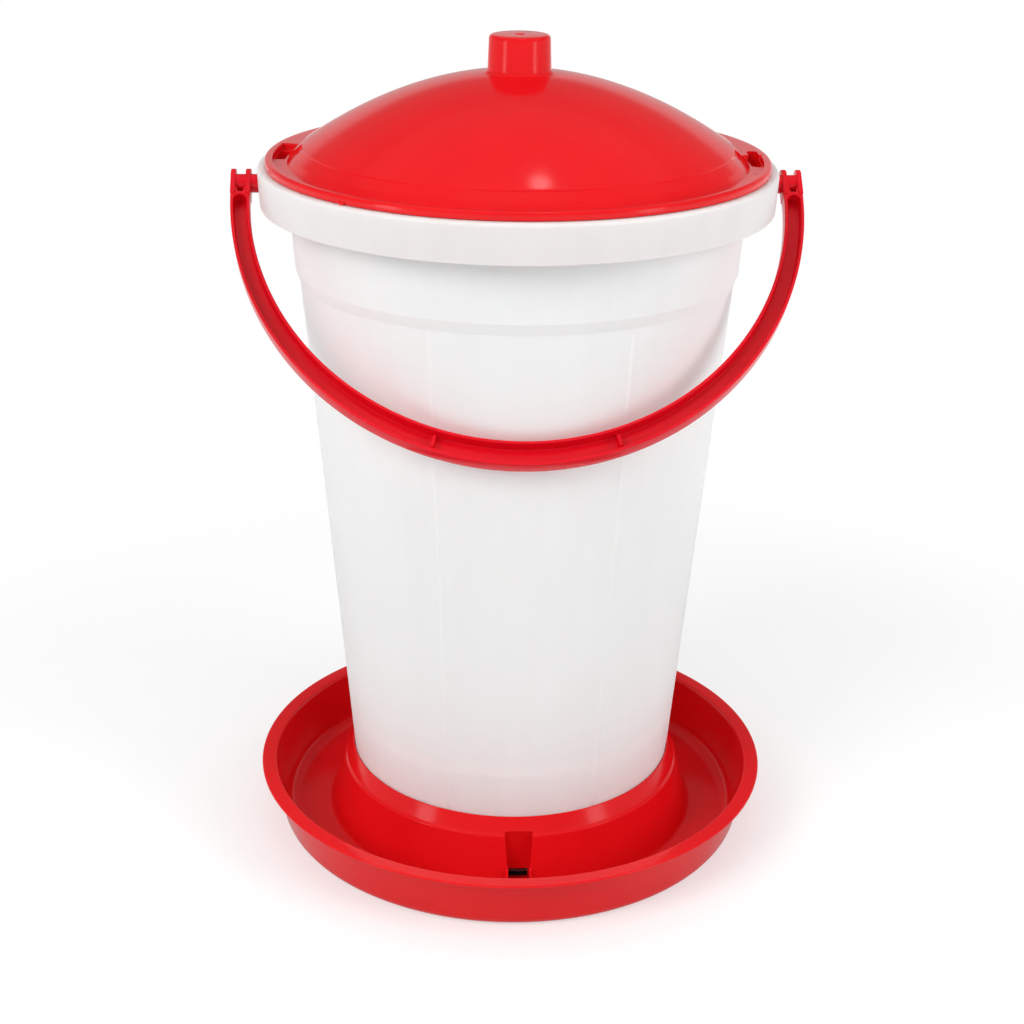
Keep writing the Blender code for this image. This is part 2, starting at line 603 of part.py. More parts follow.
def lid_outline():
    knob_fillet_r = KNOB_FOOT_RADIUS + KNOB_FOOT_FILLET
    knob_top = dome_height(0) + KNOB_HEIGHT
    plug = lid_plug_radius()
    gasket_top = flange_bottom() - GASKET_DROP
    gasket_bottom = gasket_top - GASKET_HEIGHT - 2 * CLEARANCE
    gasket_seat = plug - GASKET_GROOVE_DEPTH
    skirt_end = flange_bottom() - LID_SKIRT_DEPTH
    skirt_inner = gasket_seat - LID_SKIRT_WALL
    points = [(0, knob_top - KNOB_DIMPLE_DEPTH), (KNOB_DIMPLE_RADIUS / 2, knob_top - KNOB_DIMPLE_DEPTH)]
    points += [(KNOB_DIMPLE_RADIUS, knob_top)]
    points += fillet(KNOB_RADIUS - KNOB_EDGE_FILLET, knob_top - KNOB_EDGE_FILLET, KNOB_EDGE_FILLET, 90, 0)
    foot_z = dome_height(knob_fillet_r) + KNOB_FOOT_FILLET
    points += fillet(knob_fillet_r, foot_z, KNOB_FOOT_FILLET, 180, 270)
    points += dome_points(knob_fillet_r, DOME_FOOT_RADIUS, DOME_RINGS)[1:]
    points += [(LEDGE_RADIUS, flange_top() + LEDGE_RISE), (GROOVE_INNER_RADIUS, flange_top())]
    edge = LID_EDGE_FILLET
    points += fillet(lid_radius() - edge, flange_top() - edge, edge, 90, 0)
    points += [(lid_radius(), flange_bottom() + EDGE_BREAK / 2)]
    points += [(lid_radius() - EDGE_BREAK / 2, flange_bottom()), (plug, flange_bottom())]
    points += [(plug, gasket_top), (gasket_seat, gasket_top), (gasket_seat, gasket_bottom)]
    points += [(plug, gasket_bottom), (plug, skirt_end + 2 * EDGE_BREAK), (plug - EDGE_BREAK, skirt_end)]
    points += [(skirt_inner, skirt_end)]
    foot = min(skirt_inner, DOME_FOOT_RADIUS)
    points += [(skirt_inner, dome_height(foot) - LID_WALL)] if skirt_inner > foot else []
    points += dome_points(foot, KNOB_FOOT_RADIUS - LID_WALL, DOME_INNER_RINGS, LID_WALL)
    points += [(KNOB_RADIUS - LID_WALL, knob_top - LID_WALL), (0, knob_top - LID_WALL)]
    return points


def ledge_slot(side, start, end):
    """A dent through the ledge: the lump that closes it from below, and its cutter."""
    floor = flange_top() + LEDGE_SLOT_FLOOR_RISE
    lump_inner = LEDGE_SLOT_BACK_RADIUS - LID_WALL
    lump = [(lump_inner, floor - LID_WALL), (LEDGE_RADIUS - LID_WALL, floor - LID_WALL)]
    lump += [(LEDGE_RADIUS - LID_WALL, flange_top()), (lump_inner, dome_height(lump_inner) - LID_WALL / 2)]
    wall = LEDGE_SLOT_WALL_ANGLE
    above = flange_top() + 3 * OVERCUT
    outer = GROOVE_INNER_RADIUS + EDGE_BREAK
    tool = [(LEDGE_SLOT_BACK_RADIUS, floor), (outer, floor - EDGE_BREAK), (outer, above)]
    tool += [(LEDGE_SLOT_BACK_RADIUS - EDGE_BREAK, above)]
    return (turned(f"ledge lump {side}", lump, start - wall, end + wall),
            turned(f"ledge slot {side}", tool, start, end))


def hook_floor():
    return RIM_TOP - RIM_WALL - CLEARANCE - HOOK_TONGUE_THICKNESS


def lid_hook(side, azimuth, half_angle):
    """A foot that goes down through the rim's slot, with a tongue that turns under the rim."""
    tongue_top = hook_floor() + HOOK_TONGUE_THICKNESS
    foot_top = flange_bottom() + EDGE_BREAK
    outline = [(HOOK_INNER_RADIUS, hook_floor()), (HOOK_TONGUE_RADIUS, hook_floor())]
    outline += [(HOOK_TONGUE_RADIUS, tongue_top), (HOOK_OUTER_RADIUS, tongue_top)]
    outline += [(HOOK_OUTER_RADIUS, foot_top), (HOOK_INNER_RADIUS, foot_top)]
    return turned(f"hook {side}", outline, azimuth - half_angle, azimuth + half_angle)


def square_pocket():
    """The pocket that hollows the left hook from above."""
    azimuth, half_angle = LEFT_HOOK
    inner, outer = HOOK_INNER_RADIUS + HOOK_WALL, HOOK_OUTER_RADIUS - HOOK_WALL
    outline = box_outline(inner, outer, hook_floor() + POCKET_FLOOR, flange_top())
    half_angle -= HOOK_WALL / outer
    return turned("square pocket", outline, azimuth - half_angle, azimuth + half_angle)


def round_pocket():
    """The pocket in the right hook, with half-round ends. It runs on behind the groove's end."""
    azimuth, half_angle = RIGHT_HOOK
    middle = (HOOK_INNER_RADIUS + HOOK_OUTER_RADIUS) / 2
    radius = (HOOK_OUTER_RADIUS - HOOK_INNER_RADIUS) / 2 - HOOK_WALL
    reach = half_angle - (HOOK_WALL + radius) / middle
    plan = []
    for sign in (1, -1):
        for i in range(ROUND_POCKET_STEPS + 1):
            turn = pi * i / ROUND_POCKET_STEPS
            across, along = sign * radius * cos(turn), sign * radius * sin(turn)
            plan.append(spot(middle + across, azimuth + sign * reach + along / middle, 0))
    heights = (hook_floor() + POCKET_FLOOR, flange_top() + OVERCUT)
    return lofted("round pocket", [[(p.x, p.y, z) for p in plan] for z in heights])


def make_lid(material):
    lid = turned("lid", lid_outline(), material=material)
    above = flange_top() + 3 * OVERCUT
    floor = flange_bottom() + GROOVE_FLOOR_THICKNESS
    for side, (start, end) in zip(("left", "right"), LEDGE_SLOTS):
        lump, tool = ledge_slot(side, start, end)
        add(lid, lump)
        cut(lid, tool)
    groove = box_outline(GROOVE_INNER_RADIUS, GROOVE_OUTER_RADIUS, floor, above)
    cut(lid, turned("groove cutter", groove, GROOVE_FROM, GROOVE_TO))
    for side, (start, end) in zip(("left", "right"), RECESSES):
        inner, outer = GROOVE_INNER_RADIUS + EDGE_BREAK / 4, GROOVE_OUTER_RADIUS - EDGE_BREAK / 4
        recess = box_outline(inner, outer, floor - RECESS_DEPTH, floor + OVERCUT)
        inset = EDGE_BREAK / 4 / outer
        cut(lid, turned(f"recess {side}", recess, start + inset, end - inset))
    core_inner, core_outer = GROOVE_INNER_RADIUS + EDGE_BREAK, lid_radius() - LID_WALL
    core = box_outline(core_inner, core_outer, flange_bottom() - OVERCUT,
                       flange_bottom() + FLANGE_CORE_DEPTH)
    cut(lid, turned("flange core", core, sum(RIGHT_HOOK) + FLANGE_CORE_GAP,
                    GROOVE_FROM + 2 * pi - FLANGE_CORE_GAP))
    add(lid, lid_hook("left", *LEFT_HOOK))
    add(lid, lid_hook("right", *RIGHT_HOOK))
    cut(lid, square_pocket())
    cut(lid, round_pocket())
    return lid


def make_lid_gasket(material):
    """A rubber ring in the groove of the lid's skirt, which seals on the inside of the neck."""
    outer = seat_radius() - CLEARANCE
    inner = lid_plug_radius() - GASKET_GROOVE_DEPTH + CLEARANCE
    top = flange_bottom() - GASKET_DROP - CLEARANCE
    bottom = top - GASKET_HEIGHT
    outline = [(inner, bottom), (outer - GASKET_ROUNDING, bottom), (outer, bottom + GASKET_ROUNDING)]
    outline += [(outer, top - GASKET_ROUNDING), (outer - GASKET_ROUNDING, top), (inner, top)]
    return turned("lid_gasket", outline, material=material)


def handle_half_width():
    """Distance of the inner side of each of the bail's legs from the bucket's axis."""
    return RIM_RADIUS + HANDLE_TO_RIM


def resting_tilt():
    """Angle between the bail and straight down when its back edge leans on the bucket's wall."""
    reach = HANDLE_LEG + HANDLE_DROP
    half = HANDLE_THICKNESS / 2
    tilt = 0.0
    for _ in range(20):
        edge_height = PIVOT_HEIGHT - reach * cos(tilt) - half * sin(tilt)
        wall = skirt_radius(edge_height) + CLEARANCE
        tilt = asin(min(1.0, (wall + half * cos(tilt)) / reach))
    return tilt


def bail_edges(angle, inset=0.0):
    """Points (x, z) of the bail's inner and outer edge, each moved into the bar by the inset.

    Angle 0 is the lowest point and 90 degrees the top of the right leg's curve.
    """
    inner = (handle_half_width() + inset, HANDLE_DROP + inset)
    outer = (handle_half_width() + HANDLE_SIDE_WIDTH - inset, HANDLE_DROP + HANDLE_GRIP_WIDTH - inset)
    return [(half * sin(angle), -HANDLE_LEG - drop * cos(angle)) for half, drop in (inner, outer)]


def bail_rows(inset=0.0):
    return [bail_edges(-pi / 2 + pi * i / HANDLE_STATIONS, inset) for i in range(HANDLE_STATIONS + 1)]


def bar_section(edges, back, front):
    """The four corners of the bail's bar at one station. The front face is towards -Y."""
    (xi, zi), (xo, zo) = edges
    return [(xi, -back, zi), (xo, -back, zo), (xo, -front, zo), (xi, -front, zi)]


def bail_bar(material):
    half = HANDLE_THICKNESS / 2
    top = -HEAD_REACH + CHEEK_THICKNESS / 2
    inner, outer = handle_half_width(), handle_half_width() + HANDLE_SIDE_WIDTH
    left, right = [(-inner, top), (-outer, top)], [(inner, top), (outer, top)]
    return lofted("handle", [bar_section(e, -half, half) for e in [left] + bail_rows() + [right]], material)


def channel_cutter():
    """The channel in the bail's front face, which ends in a half circle near each pin."""
    front = HANDLE_THICKNESS / 2
    back = front - CHANNEL_DEPTH
    middle = handle_half_width() + HANDLE_SIDE_WIDTH / 2
    half = HANDLE_SIDE_WIDTH / 2 - CHANNEL_WALL
    centre = -HEAD_REACH - CHANNEL_BELOW_HEAD - half
    ends = []
    for i in range(CHANNEL_END_STEPS):
        angle = pi / 2 * (i + 0.7) / (CHANNEL_END_STEPS + 0.7)
        ends.append((centre + half * cos(angle), half * sin(angle)))
    left = [[(-middle + width, z), (-middle - width, z)] for z, width in ends]
    right = [[(middle - width, z), (middle + width, z)] for z, width in reversed(ends)]
    rows = [row for row in bail_rows(CHANNEL_WALL) if max(row[0][1], row[1][1]) < centre]
    return lofted("channel cutter", [bar_section(e, back, front + OVERCUT) for e in left + rows + right])


def handle_rib(number, angle):
    """A plate across the channel, square to the bail."""
    start, end = [Vector(point) for point in bail_edges(angle, CHANNEL_WALL / 2)]
    along = (end - start).normalized()
    side = Vector((along.y, -along.x)) * HANDLE_RIB_THICKNESS / 2
    corners = [start - side, start + side, end + side, end - side]
    floor = HANDLE_THICKNESS / 2 - CHANNEL_DEPTH
    depths = (floor - CHANNEL_WALL / 2, floor + HANDLE_RIB_HEIGHT)
    return lofted(f"handle rib {number}", [[(c.x, -y, c.y) for c in corners] for y in depths])


def cheek(name, x0, x1):
    """One cheek of the bail's head: a plate with a round top about the pin."""
    half = HEAD_THICKNESS / 2
    rise = sqrt(HEAD_RADIUS ** 2 - half ** 2)
    start = degrees(asin(rise / HEAD_RADIUS))
    outline = [(-half, -HEAD_REACH), (half, -HEAD_REACH)] + fillet(0, 0, HEAD_RADIUS, start, 180 - start, 6)
    return lofted(name, [[(x, y, z) for y, z in outline] for x in (x0, x1)])


def make_handle(material):
    handle = bail_bar(material)
    inner, outer = handle_half_width(), handle_half_width() + HANDLE_SIDE_WIDTH
    web_back = HEAD_THICKNESS / 2
    for sign, side in ((-1, "left"), (1, "right")):
        near, far = inner - HEAD_PROUD, outer + HEAD_PROUD
        add(handle, cheek(f"inner cheek {side}", sign * near, sign * (inner + CHEEK_THICKNESS)))
        add(handle, cheek(f"outer cheek {side}", sign * (outer - CHEEK_THICKNESS), sign * far))
        x0, x1 = sorted((sign * (inner + CHEEK_THICKNESS / 2), sign * (outer - CHEEK_THICKNESS / 2)))
        web_low = (x0, web_back - HEAD_WEB, -HEAD_REACH + CLEARANCE)
        add(handle, block(f"head web {side}", web_low, (x1, web_back - CLEARANCE, HEAD_RADIUS - HEAD_VALLEY)))
        pin_root = sign * (outer - CHEEK_THICKNESS / 2)
        add(handle, rod(f"pin {side}", PIN_RADIUS, sign * pin_tip(), pin_root, (0.0, 0.0), "X"))
    cut(handle, channel_cutter())
    for number, angle in enumerate(HANDLE_RIB_ANGLES, 1):
        add(handle, handle_rib(number, angle))
    pivot = bpy.data.objects.new("handle pivot", None)
    pivot.location = (0, 0, PIVOT_HEIGHT)
    pivot.rotation_euler = (-resting_tilt(), 0, 0)
    bpy.context.scene.collection.objects.link(pivot)
    handle.parent = pivot
    for modifier in handle.modifiers:
        modifier.object.parent = pivot
    return handle


def main():
    clear_scene()
    red = plastic("red plastic", RED, 0.25)
    milky = plastic("milky plastic", MILKY, 0.35, transmission=0.35)
    rubber = plastic("black rubber", BLACK, 0.70)
    make_tray(red)
    make_bucket(milky)
    make_outlet_seal(rubber)
    make_lid(red)
    make_lid_gasket(rubber)
    make_handle(red)


main()
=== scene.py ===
# %% [markdown]
# # A poultry drinker in moulded plastic
# The object is a 20-litre drinker: a milky bucket under a red lid, with a red bail, standing in a
# red drinking tray. The imported CAD model gives every size and every moving body. This lesson puts
# finely rounded mouldings and plastics round that frame. First the frame is loaded.

import json
from math import asin, atan2, cos, hypot, pi, radians, sin, sqrt, tan

import bmesh
import bpy
from mathutils import Matrix, Vector

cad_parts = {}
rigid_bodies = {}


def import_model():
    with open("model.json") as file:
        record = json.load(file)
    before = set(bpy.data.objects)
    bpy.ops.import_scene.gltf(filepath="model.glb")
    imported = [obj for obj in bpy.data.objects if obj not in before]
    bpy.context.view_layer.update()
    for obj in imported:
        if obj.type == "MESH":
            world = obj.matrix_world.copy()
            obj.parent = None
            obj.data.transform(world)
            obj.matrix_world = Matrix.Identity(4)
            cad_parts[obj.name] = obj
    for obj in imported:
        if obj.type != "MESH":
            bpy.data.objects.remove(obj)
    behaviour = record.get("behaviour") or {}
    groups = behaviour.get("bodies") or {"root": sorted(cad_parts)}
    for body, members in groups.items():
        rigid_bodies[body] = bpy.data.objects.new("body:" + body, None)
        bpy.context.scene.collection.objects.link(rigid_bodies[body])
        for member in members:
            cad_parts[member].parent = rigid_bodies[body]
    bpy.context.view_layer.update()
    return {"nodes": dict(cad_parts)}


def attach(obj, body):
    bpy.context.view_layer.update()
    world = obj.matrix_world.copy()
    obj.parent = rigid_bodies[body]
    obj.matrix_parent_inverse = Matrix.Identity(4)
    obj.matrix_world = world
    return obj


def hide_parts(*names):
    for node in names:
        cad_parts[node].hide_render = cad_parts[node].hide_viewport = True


for leftover in list(bpy.data.objects):
    bpy.data.objects.remove(leftover, do_unlink=True)
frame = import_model()

# %% [markdown]
# ## The camera
# The camera comes before the looks. Its place was fitted to the ellipses of the rims and of the
# tray in the photograph. It stands a little over a metre away, above the lid, and looks down on the
# drinker. A camera looks along its own -Z, so tilting it up by a right angle minus the dip makes it
# look forward and slightly down.

# %% Camera
CAMERA_PLACE = (-0.0608, -1.1436, 0.6998)
CAMERA_YAW = 0.0522
CAMERA_DIP = 0.3934
CAMERA_ROLL = 0.0131
CAMERA_LENS = 63.46

camera = bpy.data.objects.new("camera", bpy.data.cameras.new("camera"))
bpy.context.scene.collection.objects.link(camera)
camera.data.sensor_width = 36.0
camera.data.lens = CAMERA_LENS
camera.matrix_world = (
    Matrix.Translation(CAMERA_PLACE)
    @ Matrix.Rotation(-CAMERA_YAW, 4, "Z")
    @ Matrix.Rotation(pi / 2 - CAMERA_DIP, 4, "X")
    @ Matrix.Rotation(CAMERA_ROLL, 4, "Z")
)
bpy.context.scene.camera = camera
print("camera at", [round(x, 3) for x in camera.matrix_world.translation])

# %% [markdown]
# ## Shader maths as plain expressions
# A procedural finish is a small calculation for every point of a surface. Wrapping a node's output
# in a class lets that calculation be written as it would be on paper: `1 - wear * 0.3` adds two
# Math nodes. Colours and vectors can't go through a Math node, which would turn them grey, so they
# have their own methods. Any other node comes from one method, `node`, which takes the node's type,
# its settings and the values or links of its sockets.

# %% The class for shader maths
class Value:
    """An output socket of a material's node tree, with the operators that numbers have."""

    def __init__(self, tree, socket):
        self.tree = tree
        self.socket = socket

    def node(self, kind, settings=None, output=0, **inputs):
        """Adds a node. Settings are set first, and inputs are named as its sockets are."""
        made = self.tree.nodes.new(kind)
        for key, value in (settings or {}).items():
            if key == "stops":
                set_stops(made.color_ramp, value)
            else:
                setattr(made, key, value)
        for key, value in inputs.items():
            feed(self.tree, pick(made.inputs, key), value)
        return Value(self.tree, pick(made.outputs, output))

    def math(self, operation, first, second):
        return self.node("ShaderNodeMath", {"operation": operation}, _0=first, _1=second)

    def __add__(self, other):
        return self.math("ADD", self, other)

    def __radd__(self, other):
        return self.math("ADD", other, self)

    def __sub__(self, other):
        return self.math("SUBTRACT", self, other)

    def __rsub__(self, other):
        return self.math("SUBTRACT", other, self)

    def __mul__(self, other):
        return self.math("MULTIPLY", self, other)

    def __rmul__(self, other):
        return self.math("MULTIPLY", other, self)

    def ramp(self, low, high):
        """0 below low, 1 above high, and a smooth rise between them."""
        settings = {"interpolation_type": "SMOOTHSTEP"}
        return self.node("ShaderNodeMapRange", settings, Value=self,
                         From_Min=low, From_Max=high)

    def blend(self, first, second):
        """The first colour where this value is 0 and the second where it is 1."""
        settings = {"data_type": "RGBA"}
        return self.node("ShaderNodeMix", settings, output=2, _0=self, _6=first, _7=second)


def pick(sockets, key):
    """A socket by its number, or by its name with an underscore for each space."""
    if isinstance(key, int):
        return sockets[key]
    if key[0] == "_" and key[1:].isdigit():
        return sockets[int(key[1:])]
    return next(s for s in sockets if s.name.replace(" ", "_") == key)


def feed(tree, socket, value):
    """Links a Value to the socket, or sets a plain number or colour on it."""
    if isinstance(value, Value):
        tree.links.new(value.socket, socket)
    elif hasattr(socket.default_value, "__len__") and len(socket.default_value) == 4:
        socket.default_value = (*value, 1.0)[:4]
    else:
        socket.default_value = value


def set_stops(ramp, stops):
    """Sets a colour ramp's stops from (position, grey) pairs."""
    while len(ramp.elements) < len(stops):
        ramp.elements.new(1.0)
    for element, (position, grey) in zip(ramp.elements, stops):
        element.position = position
        element.color = (grey, grey, grey, 1.0)


print("shader maths ready")

# %% [markdown]
# ## Glossy red plastic
# The lid, the tray and the bail are injection-moulded polypropylene with a polished mould finish.
# Such a surface isn't a perfect mirror: it has a faint waviness from cooling, a little haze that
# changes from place to place, and a colour that is a touch deeper where the wall is thick. All
# three are made from noise in the object's own coordinates, so that they stay on the piece when
# it moves and look the same from every side. The bail gets its own red, which is a little cooler,
# and a duller surface.

# %% Red plastic
RED = (0.790, 0.008, 0.011)
DEEP_RED = (0.730, 0.005, 0.009)
BAIL_RED = (0.760, 0.003, 0.014)
DEEP_BAIL_RED = (0.690, 0.002, 0.012)


def new_material(name):
    """A material, its Principled shader and a Value that starts its expressions."""
    material = bpy.data.materials.new(name)
    material.use_nodes = True
    tree = material.node_tree
    shader = tree.nodes["Principled BSDF"]
    place = tree.nodes.new("ShaderNodeTexCoord")
    return material, shader, Value(tree, place.outputs["Object"])


def noise(place, scale, detail=2.0, roughness=0.5):
    return place.node("ShaderNodeTexNoise", Vector=place, Scale=scale, Detail=detail,
                      Roughness=roughness)


def bump(place, height, strength, distance):
    return place.node("ShaderNodeBump", Strength=strength, Distance=distance, Height=height)


def red_plastic(name, colour, deep, gloss, haze):
    material, shader, place = new_material(name)
    flow = noise(place, 9.0, 3.0)
    fine = noise(place, 160.0, 2.0)
    waves = noise(place, 46.0, 1.0)
    grain = noise(place, 2600.0, 1.0)
    feed(place.tree, shader.inputs["Base Color"], flow.ramp(0.35, 0.75).blend(colour, deep))
    feed(place.tree, shader.inputs["Roughness"], gloss + haze * flow + 0.03 * fine)
    skin = bump(place, waves * 0.8 + grain * 0.03, 0.10, 0.0009)
    feed(place.tree, shader.inputs["Normal"], skin)
    shader.inputs["IOR"].default_value = 1.49
    shader.inputs["Specular IOR Level"].default_value = 0.30
    shader.inputs["Subsurface Weight"].default_value = 0.08
    shader.inputs["Subsurface Radius"].default_value = (0.004, 0.0006, 0.0004)
    shader.inputs["Subsurface Scale"].default_value = 1.0
    return material


glossy_red = red_plastic("glossy red plastic", RED, DEEP_RED, 0.10, 0.06)
bail_red = red_plastic("bail red plastic", BAIL_RED, DEEP_BAIL_RED, 0.18, 0.08)
print("red plastics made")

# %% [markdown]
# ## Milky plastic
# The bucket is blow-moulded or injection-moulded polyethylene without pigment. Light enters it,
# scatters a few millimetres and comes out again, also on the other side of the thin wall, so the
# foot of the bucket takes a pink tint from the red tray behind it. Glass-like transmission would
# be too clear. Subsurface scattering gives this, because the wall is a real closed shell with its
# true thickness. Faint upright streaks and a soft haze break the evenness up. The rim band renders
# brighter than the wall below it, so painted shade darkens it: its colour is a darker copy of the
# milky tone. The height in the piece's own coordinates tells where the rim begins.

# %% Milky plastic
MILK_DARK, MILK_LIGHT = (0.940, 0.905, 0.893), (0.958, 0.927, 0.916)
# Painted shade on the rim band: its colours are a darker copy of the milky colours.
RIM_SHADE_DARK, RIM_SHADE_LIGHT = (0.750, 0.728, 0.722), (0.775, 0.753, 0.748)
RIM_SHADE_FROM = (0.4380, 0.4410)
SCATTER_RADIUS = (0.0034, 0.0032, 0.0031)


def milky_plastic(name):
    material, shader, place = new_material(name)
    stretch = place.node("ShaderNodeVectorMath", {"operation": "MULTIPLY"}, _0=place,
                         _1=(60.0, 60.0, 5.0))
    streaks = place.node("ShaderNodeTexNoise", Vector=stretch, Scale=1.0, Detail=2.0)
    cloud = noise(place, 11.0, 3.0)
    grain = noise(place, 1700.0, 2.0)
    tone = (streaks * 0.5 + cloud * 0.5).ramp(0.35, 0.65)
    height = place.node("ShaderNodeSeparateXYZ", output="Z", Vector=place)
    wall = tone.blend(MILK_DARK, MILK_LIGHT)
    # painted shade: the rim band gets the darker copy of the milky tone
    rim = tone.blend(RIM_SHADE_DARK, RIM_SHADE_LIGHT)
    feed(place.tree, shader.inputs["Base Color"], height.ramp(*RIM_SHADE_FROM).blend(wall, rim))
    feed(place.tree, shader.inputs["Roughness"], 0.34 + 0.10 * cloud + 0.03 * streaks)
    skin = bump(place, streaks * 0.4 + grain * 0.12, 0.10, 0.0006)
    feed(place.tree, shader.inputs["Normal"], skin)
    shader.inputs["IOR"].default_value = 1.51
    shader.inputs["Subsurface Weight"].default_value = 1.0
    shader.inputs["Subsurface Radius"].default_value = SCATTER_RADIUS
    shader.inputs["Subsurface Scale"].default_value = 1.0
    return material


milky = milky_plastic("milky plastic")
print("milky plastic made")

# %% [markdown]
# ## Black rubber
# The lid's gasket and the seal at the outlet are soft rubber. Rubber is dark and almost without
# gloss, with a dusty bloom in places. Both pieces stay as the CAD made them and only get this
# finish, by putting it into their material slots.

# %% Rubber
def black_rubber(name):
    material, shader, place = new_material(name)
    bloom = noise(place, 120.0, 4.0, 0.6)
    grain = noise(place, 1500.0, 2.0)
    feed(place.tree, shader.inputs["Base Color"],
         bloom.ramp(0.4, 0.8).blend((0.018, 0.018, 0.019), (0.050, 0.049, 0.047)))
    feed(place.tree, shader.inputs["Roughness"], 0.58 + 0.22 * bloom)
    feed(place.tree, shader.inputs["Normal"], bump(place, grain, 0.25, 0.0002))
    shader.inputs["Specular IOR Level"].default_value = 0.15
    return material


rubber = black_rubber("black rubber")
for node in ("lid_gasket", "outlet_seal"):
    piece = frame["nodes"][node]
    for slot in piece.material_slots:
        slot.material = rubber
print("rubber made")

# %% [markdown]
# ## Turning a profile
# Most of the drinker is turned: a profile runs round the axis. A profile that may change with the
# azimuth does more than a plain screw modifier: a groove that ends or a rib is then just another
# depth at some azimuths, and the mesh stays one clean grid of quads with no Boolean. Corners are
# given with a fillet radius, because moulded edges are never sharp, and the fillets are what
# catches the light.

# %% Helpers for turned pieces
TURN_STEPS = 240
FILLET_STEPS = 4


def spot(radius, azimuth, z):
    """A point at an azimuth, which is 0 at the front and grows towards +X."""
    return Vector((radius * sin(azimuth), -radius * cos(azimuth), z))


def rounded(corners, steps=FILLET_STEPS):
    """A closed profile from corners (r, z, fillet), with each fillet in the same number of points."""
    points = []
    count = len(corners)
    for i, (r, z, fillet) in enumerate(corners):
        if not fillet:
            points.append((r, z))
            continue
        here = Vector((r, z))
        before = Vector(corners[i - 1][:2]) - here
        after = Vector(corners[(i + 1) % count][:2]) - here
        reach_before, reach_after = before.length, after.length
        if min(reach_before, reach_after) < 1e-7:
            points += [(r, z)] * (steps + 1)
            continue
        before, after = before.normalized(), after.normalized()
        angle = before.angle(after)
        if angle > pi - 0.02:
            points += [(r, z)] * (steps + 1)
            continue
        cut = min(fillet / tan(angle / 2), 0.48 * reach_before, 0.48 * reach_after)
        radius = cut * tan(angle / 2)
        centre = here + (before + after).normalized() * (radius / sin(angle / 2))
        start, end = here + before * cut - centre, here + after * cut - centre
        a0 = atan2(start.y, start.x)
        turn = (atan2(end.y, end.x) - a0 + pi) % (2 * pi) - pi
        for k in range(steps + 1):
            a = a0 + turn * k / steps
            points.append((centre.x + radius * cos(a), centre.y + radius * sin(a)))
    return points


def smooth(x):
    x = min(1.0, max(0.0, x))
    return x * x * (3 - 2 * x)


def window(azimuth, start, end, soft):
    """1 between start and end, 0 outside, with a soft change of that width centred on each end."""
    rise = smooth((azimuth - start) / soft + 0.5)
    fall = smooth((end - azimuth) / soft + 0.5)
    return min(rise, fall)


def mix(a, b, share):
    return a + (b - a) * share


def stops(details):
    """Azimuths all round, with extra ones across each (azimuth, soft width) in details."""
    found = {round(-pi + 2 * pi * i / TURN_STEPS, 7) for i in range(TURN_STEPS)}
    for azimuth, soft in details:
        found |= {round(azimuth + soft * k / 8, 7) for k in range(-4, 5)}
    return sorted(found)


def to_object(name, bm, material, sharp=40):
    bmesh.ops.remove_doubles(bm, verts=bm.verts, dist=2e-6)
    bmesh.ops.dissolve_degenerate(bm, dist=1e-7, edges=bm.edges)
    bmesh.ops.recalc_face_normals(bm, faces=bm.faces)
    mesh = bpy.data.meshes.new(name)
    bm.to_mesh(mesh)
    bm.free()
    mesh.shade_smooth()
    mesh.set_sharp_from_angle(angle=radians(sharp))
    obj = bpy.data.objects.new(name, mesh)
    bpy.context.scene.collection.objects.link(obj)
    if material:
        mesh.materials.append(material)
    return obj


def turn(name, profile_at, azimuths, material):
    """Joins the profile of each azimuth to the next one, all the way round."""
    bm = bmesh.new()
    rings = [[bm.verts.new(spot(r, a, z)) for r, z in profile_at(a)] for a in azimuths]
    count = len(rings[0])
    for ring, other in zip(rings, rings[1:] + rings[:1]):
        for j in range(count):
            k = (j + 1) % count
            if hypot(ring[j].co.x, ring[j].co.y) > 1e-9 or hypot(ring[k].co.x, ring[k].co.y) > 1e-9:
                bm.faces.new((ring[j], ring[k], other[k], other[j]))
    return to_object(name, bm, material)


print("helpers for turned pieces ready")

# %% [markdown]
# ## Cutting and joining
# A few details aren't turned: the dents, the pockets, the water notch and the holes. They are made with
# Boolean modifiers whose results are written into the mesh at once, so that no cutter is left
# behind when the piece moves with its body.

# %% Helpers for Booleans
def apply_modifiers(obj):
    """Writes the modifiers' result into the object's own mesh."""
    bpy.context.view_layer.update()
    graph = bpy.context.evaluated_depsgraph_get()
    mesh = bpy.data.meshes.new_from_object(obj.evaluated_get(graph), depsgraph=graph)
    obj.modifiers.clear()
    obj.data = mesh


def boolean(target, tool, operation):
    modifier = target.modifiers.new(operation.lower(), "BOOLEAN")
    modifier.operation = operation
    modifier.solver = "MANIFOLD"
    modifier.object = tool
    apply_modifiers(target)
    bpy.data.objects.remove(tool, do_unlink=True)


def loft(name, sections, material=None, sharp=40):
    """Equal closed loops of points joined in order, with end faces."""
    bm = bmesh.new()
    loops = [[bm.verts.new(point) for point in section] for section in sections]
    count = len(loops[0])
    for loop, following in zip(loops, loops[1:]):
        for j in range(count):
            k = (j + 1) % count
            bm.faces.new((loop[j], loop[k], following[k], following[j]))
    bm.faces.new(loops[0])
    bm.faces.new(loops[-1])
    return to_object(name, bm, material, sharp)


def sector(name, outline, start, end, steps=12):
    return loft(name, [[spot(r, mix(start, end, i / steps), z) for r, z in outline]
                       for i in range(steps + 1)])


def soften(obj, width, segments=2, angle=35):
    """Rounds the edges of a piece with a bevel, and writes it into the mesh."""
    modifier = obj.modifiers.new("soft edges", "BEVEL")
    modifier.width = width
    modifier.segments = segments
    modifier.limit_method = "ANGLE"
    modifier.angle_limit = radians(angle)
    modifier.harden_normals = False
    apply_modifiers(obj)
    return obj


print("helpers for Booleans ready")

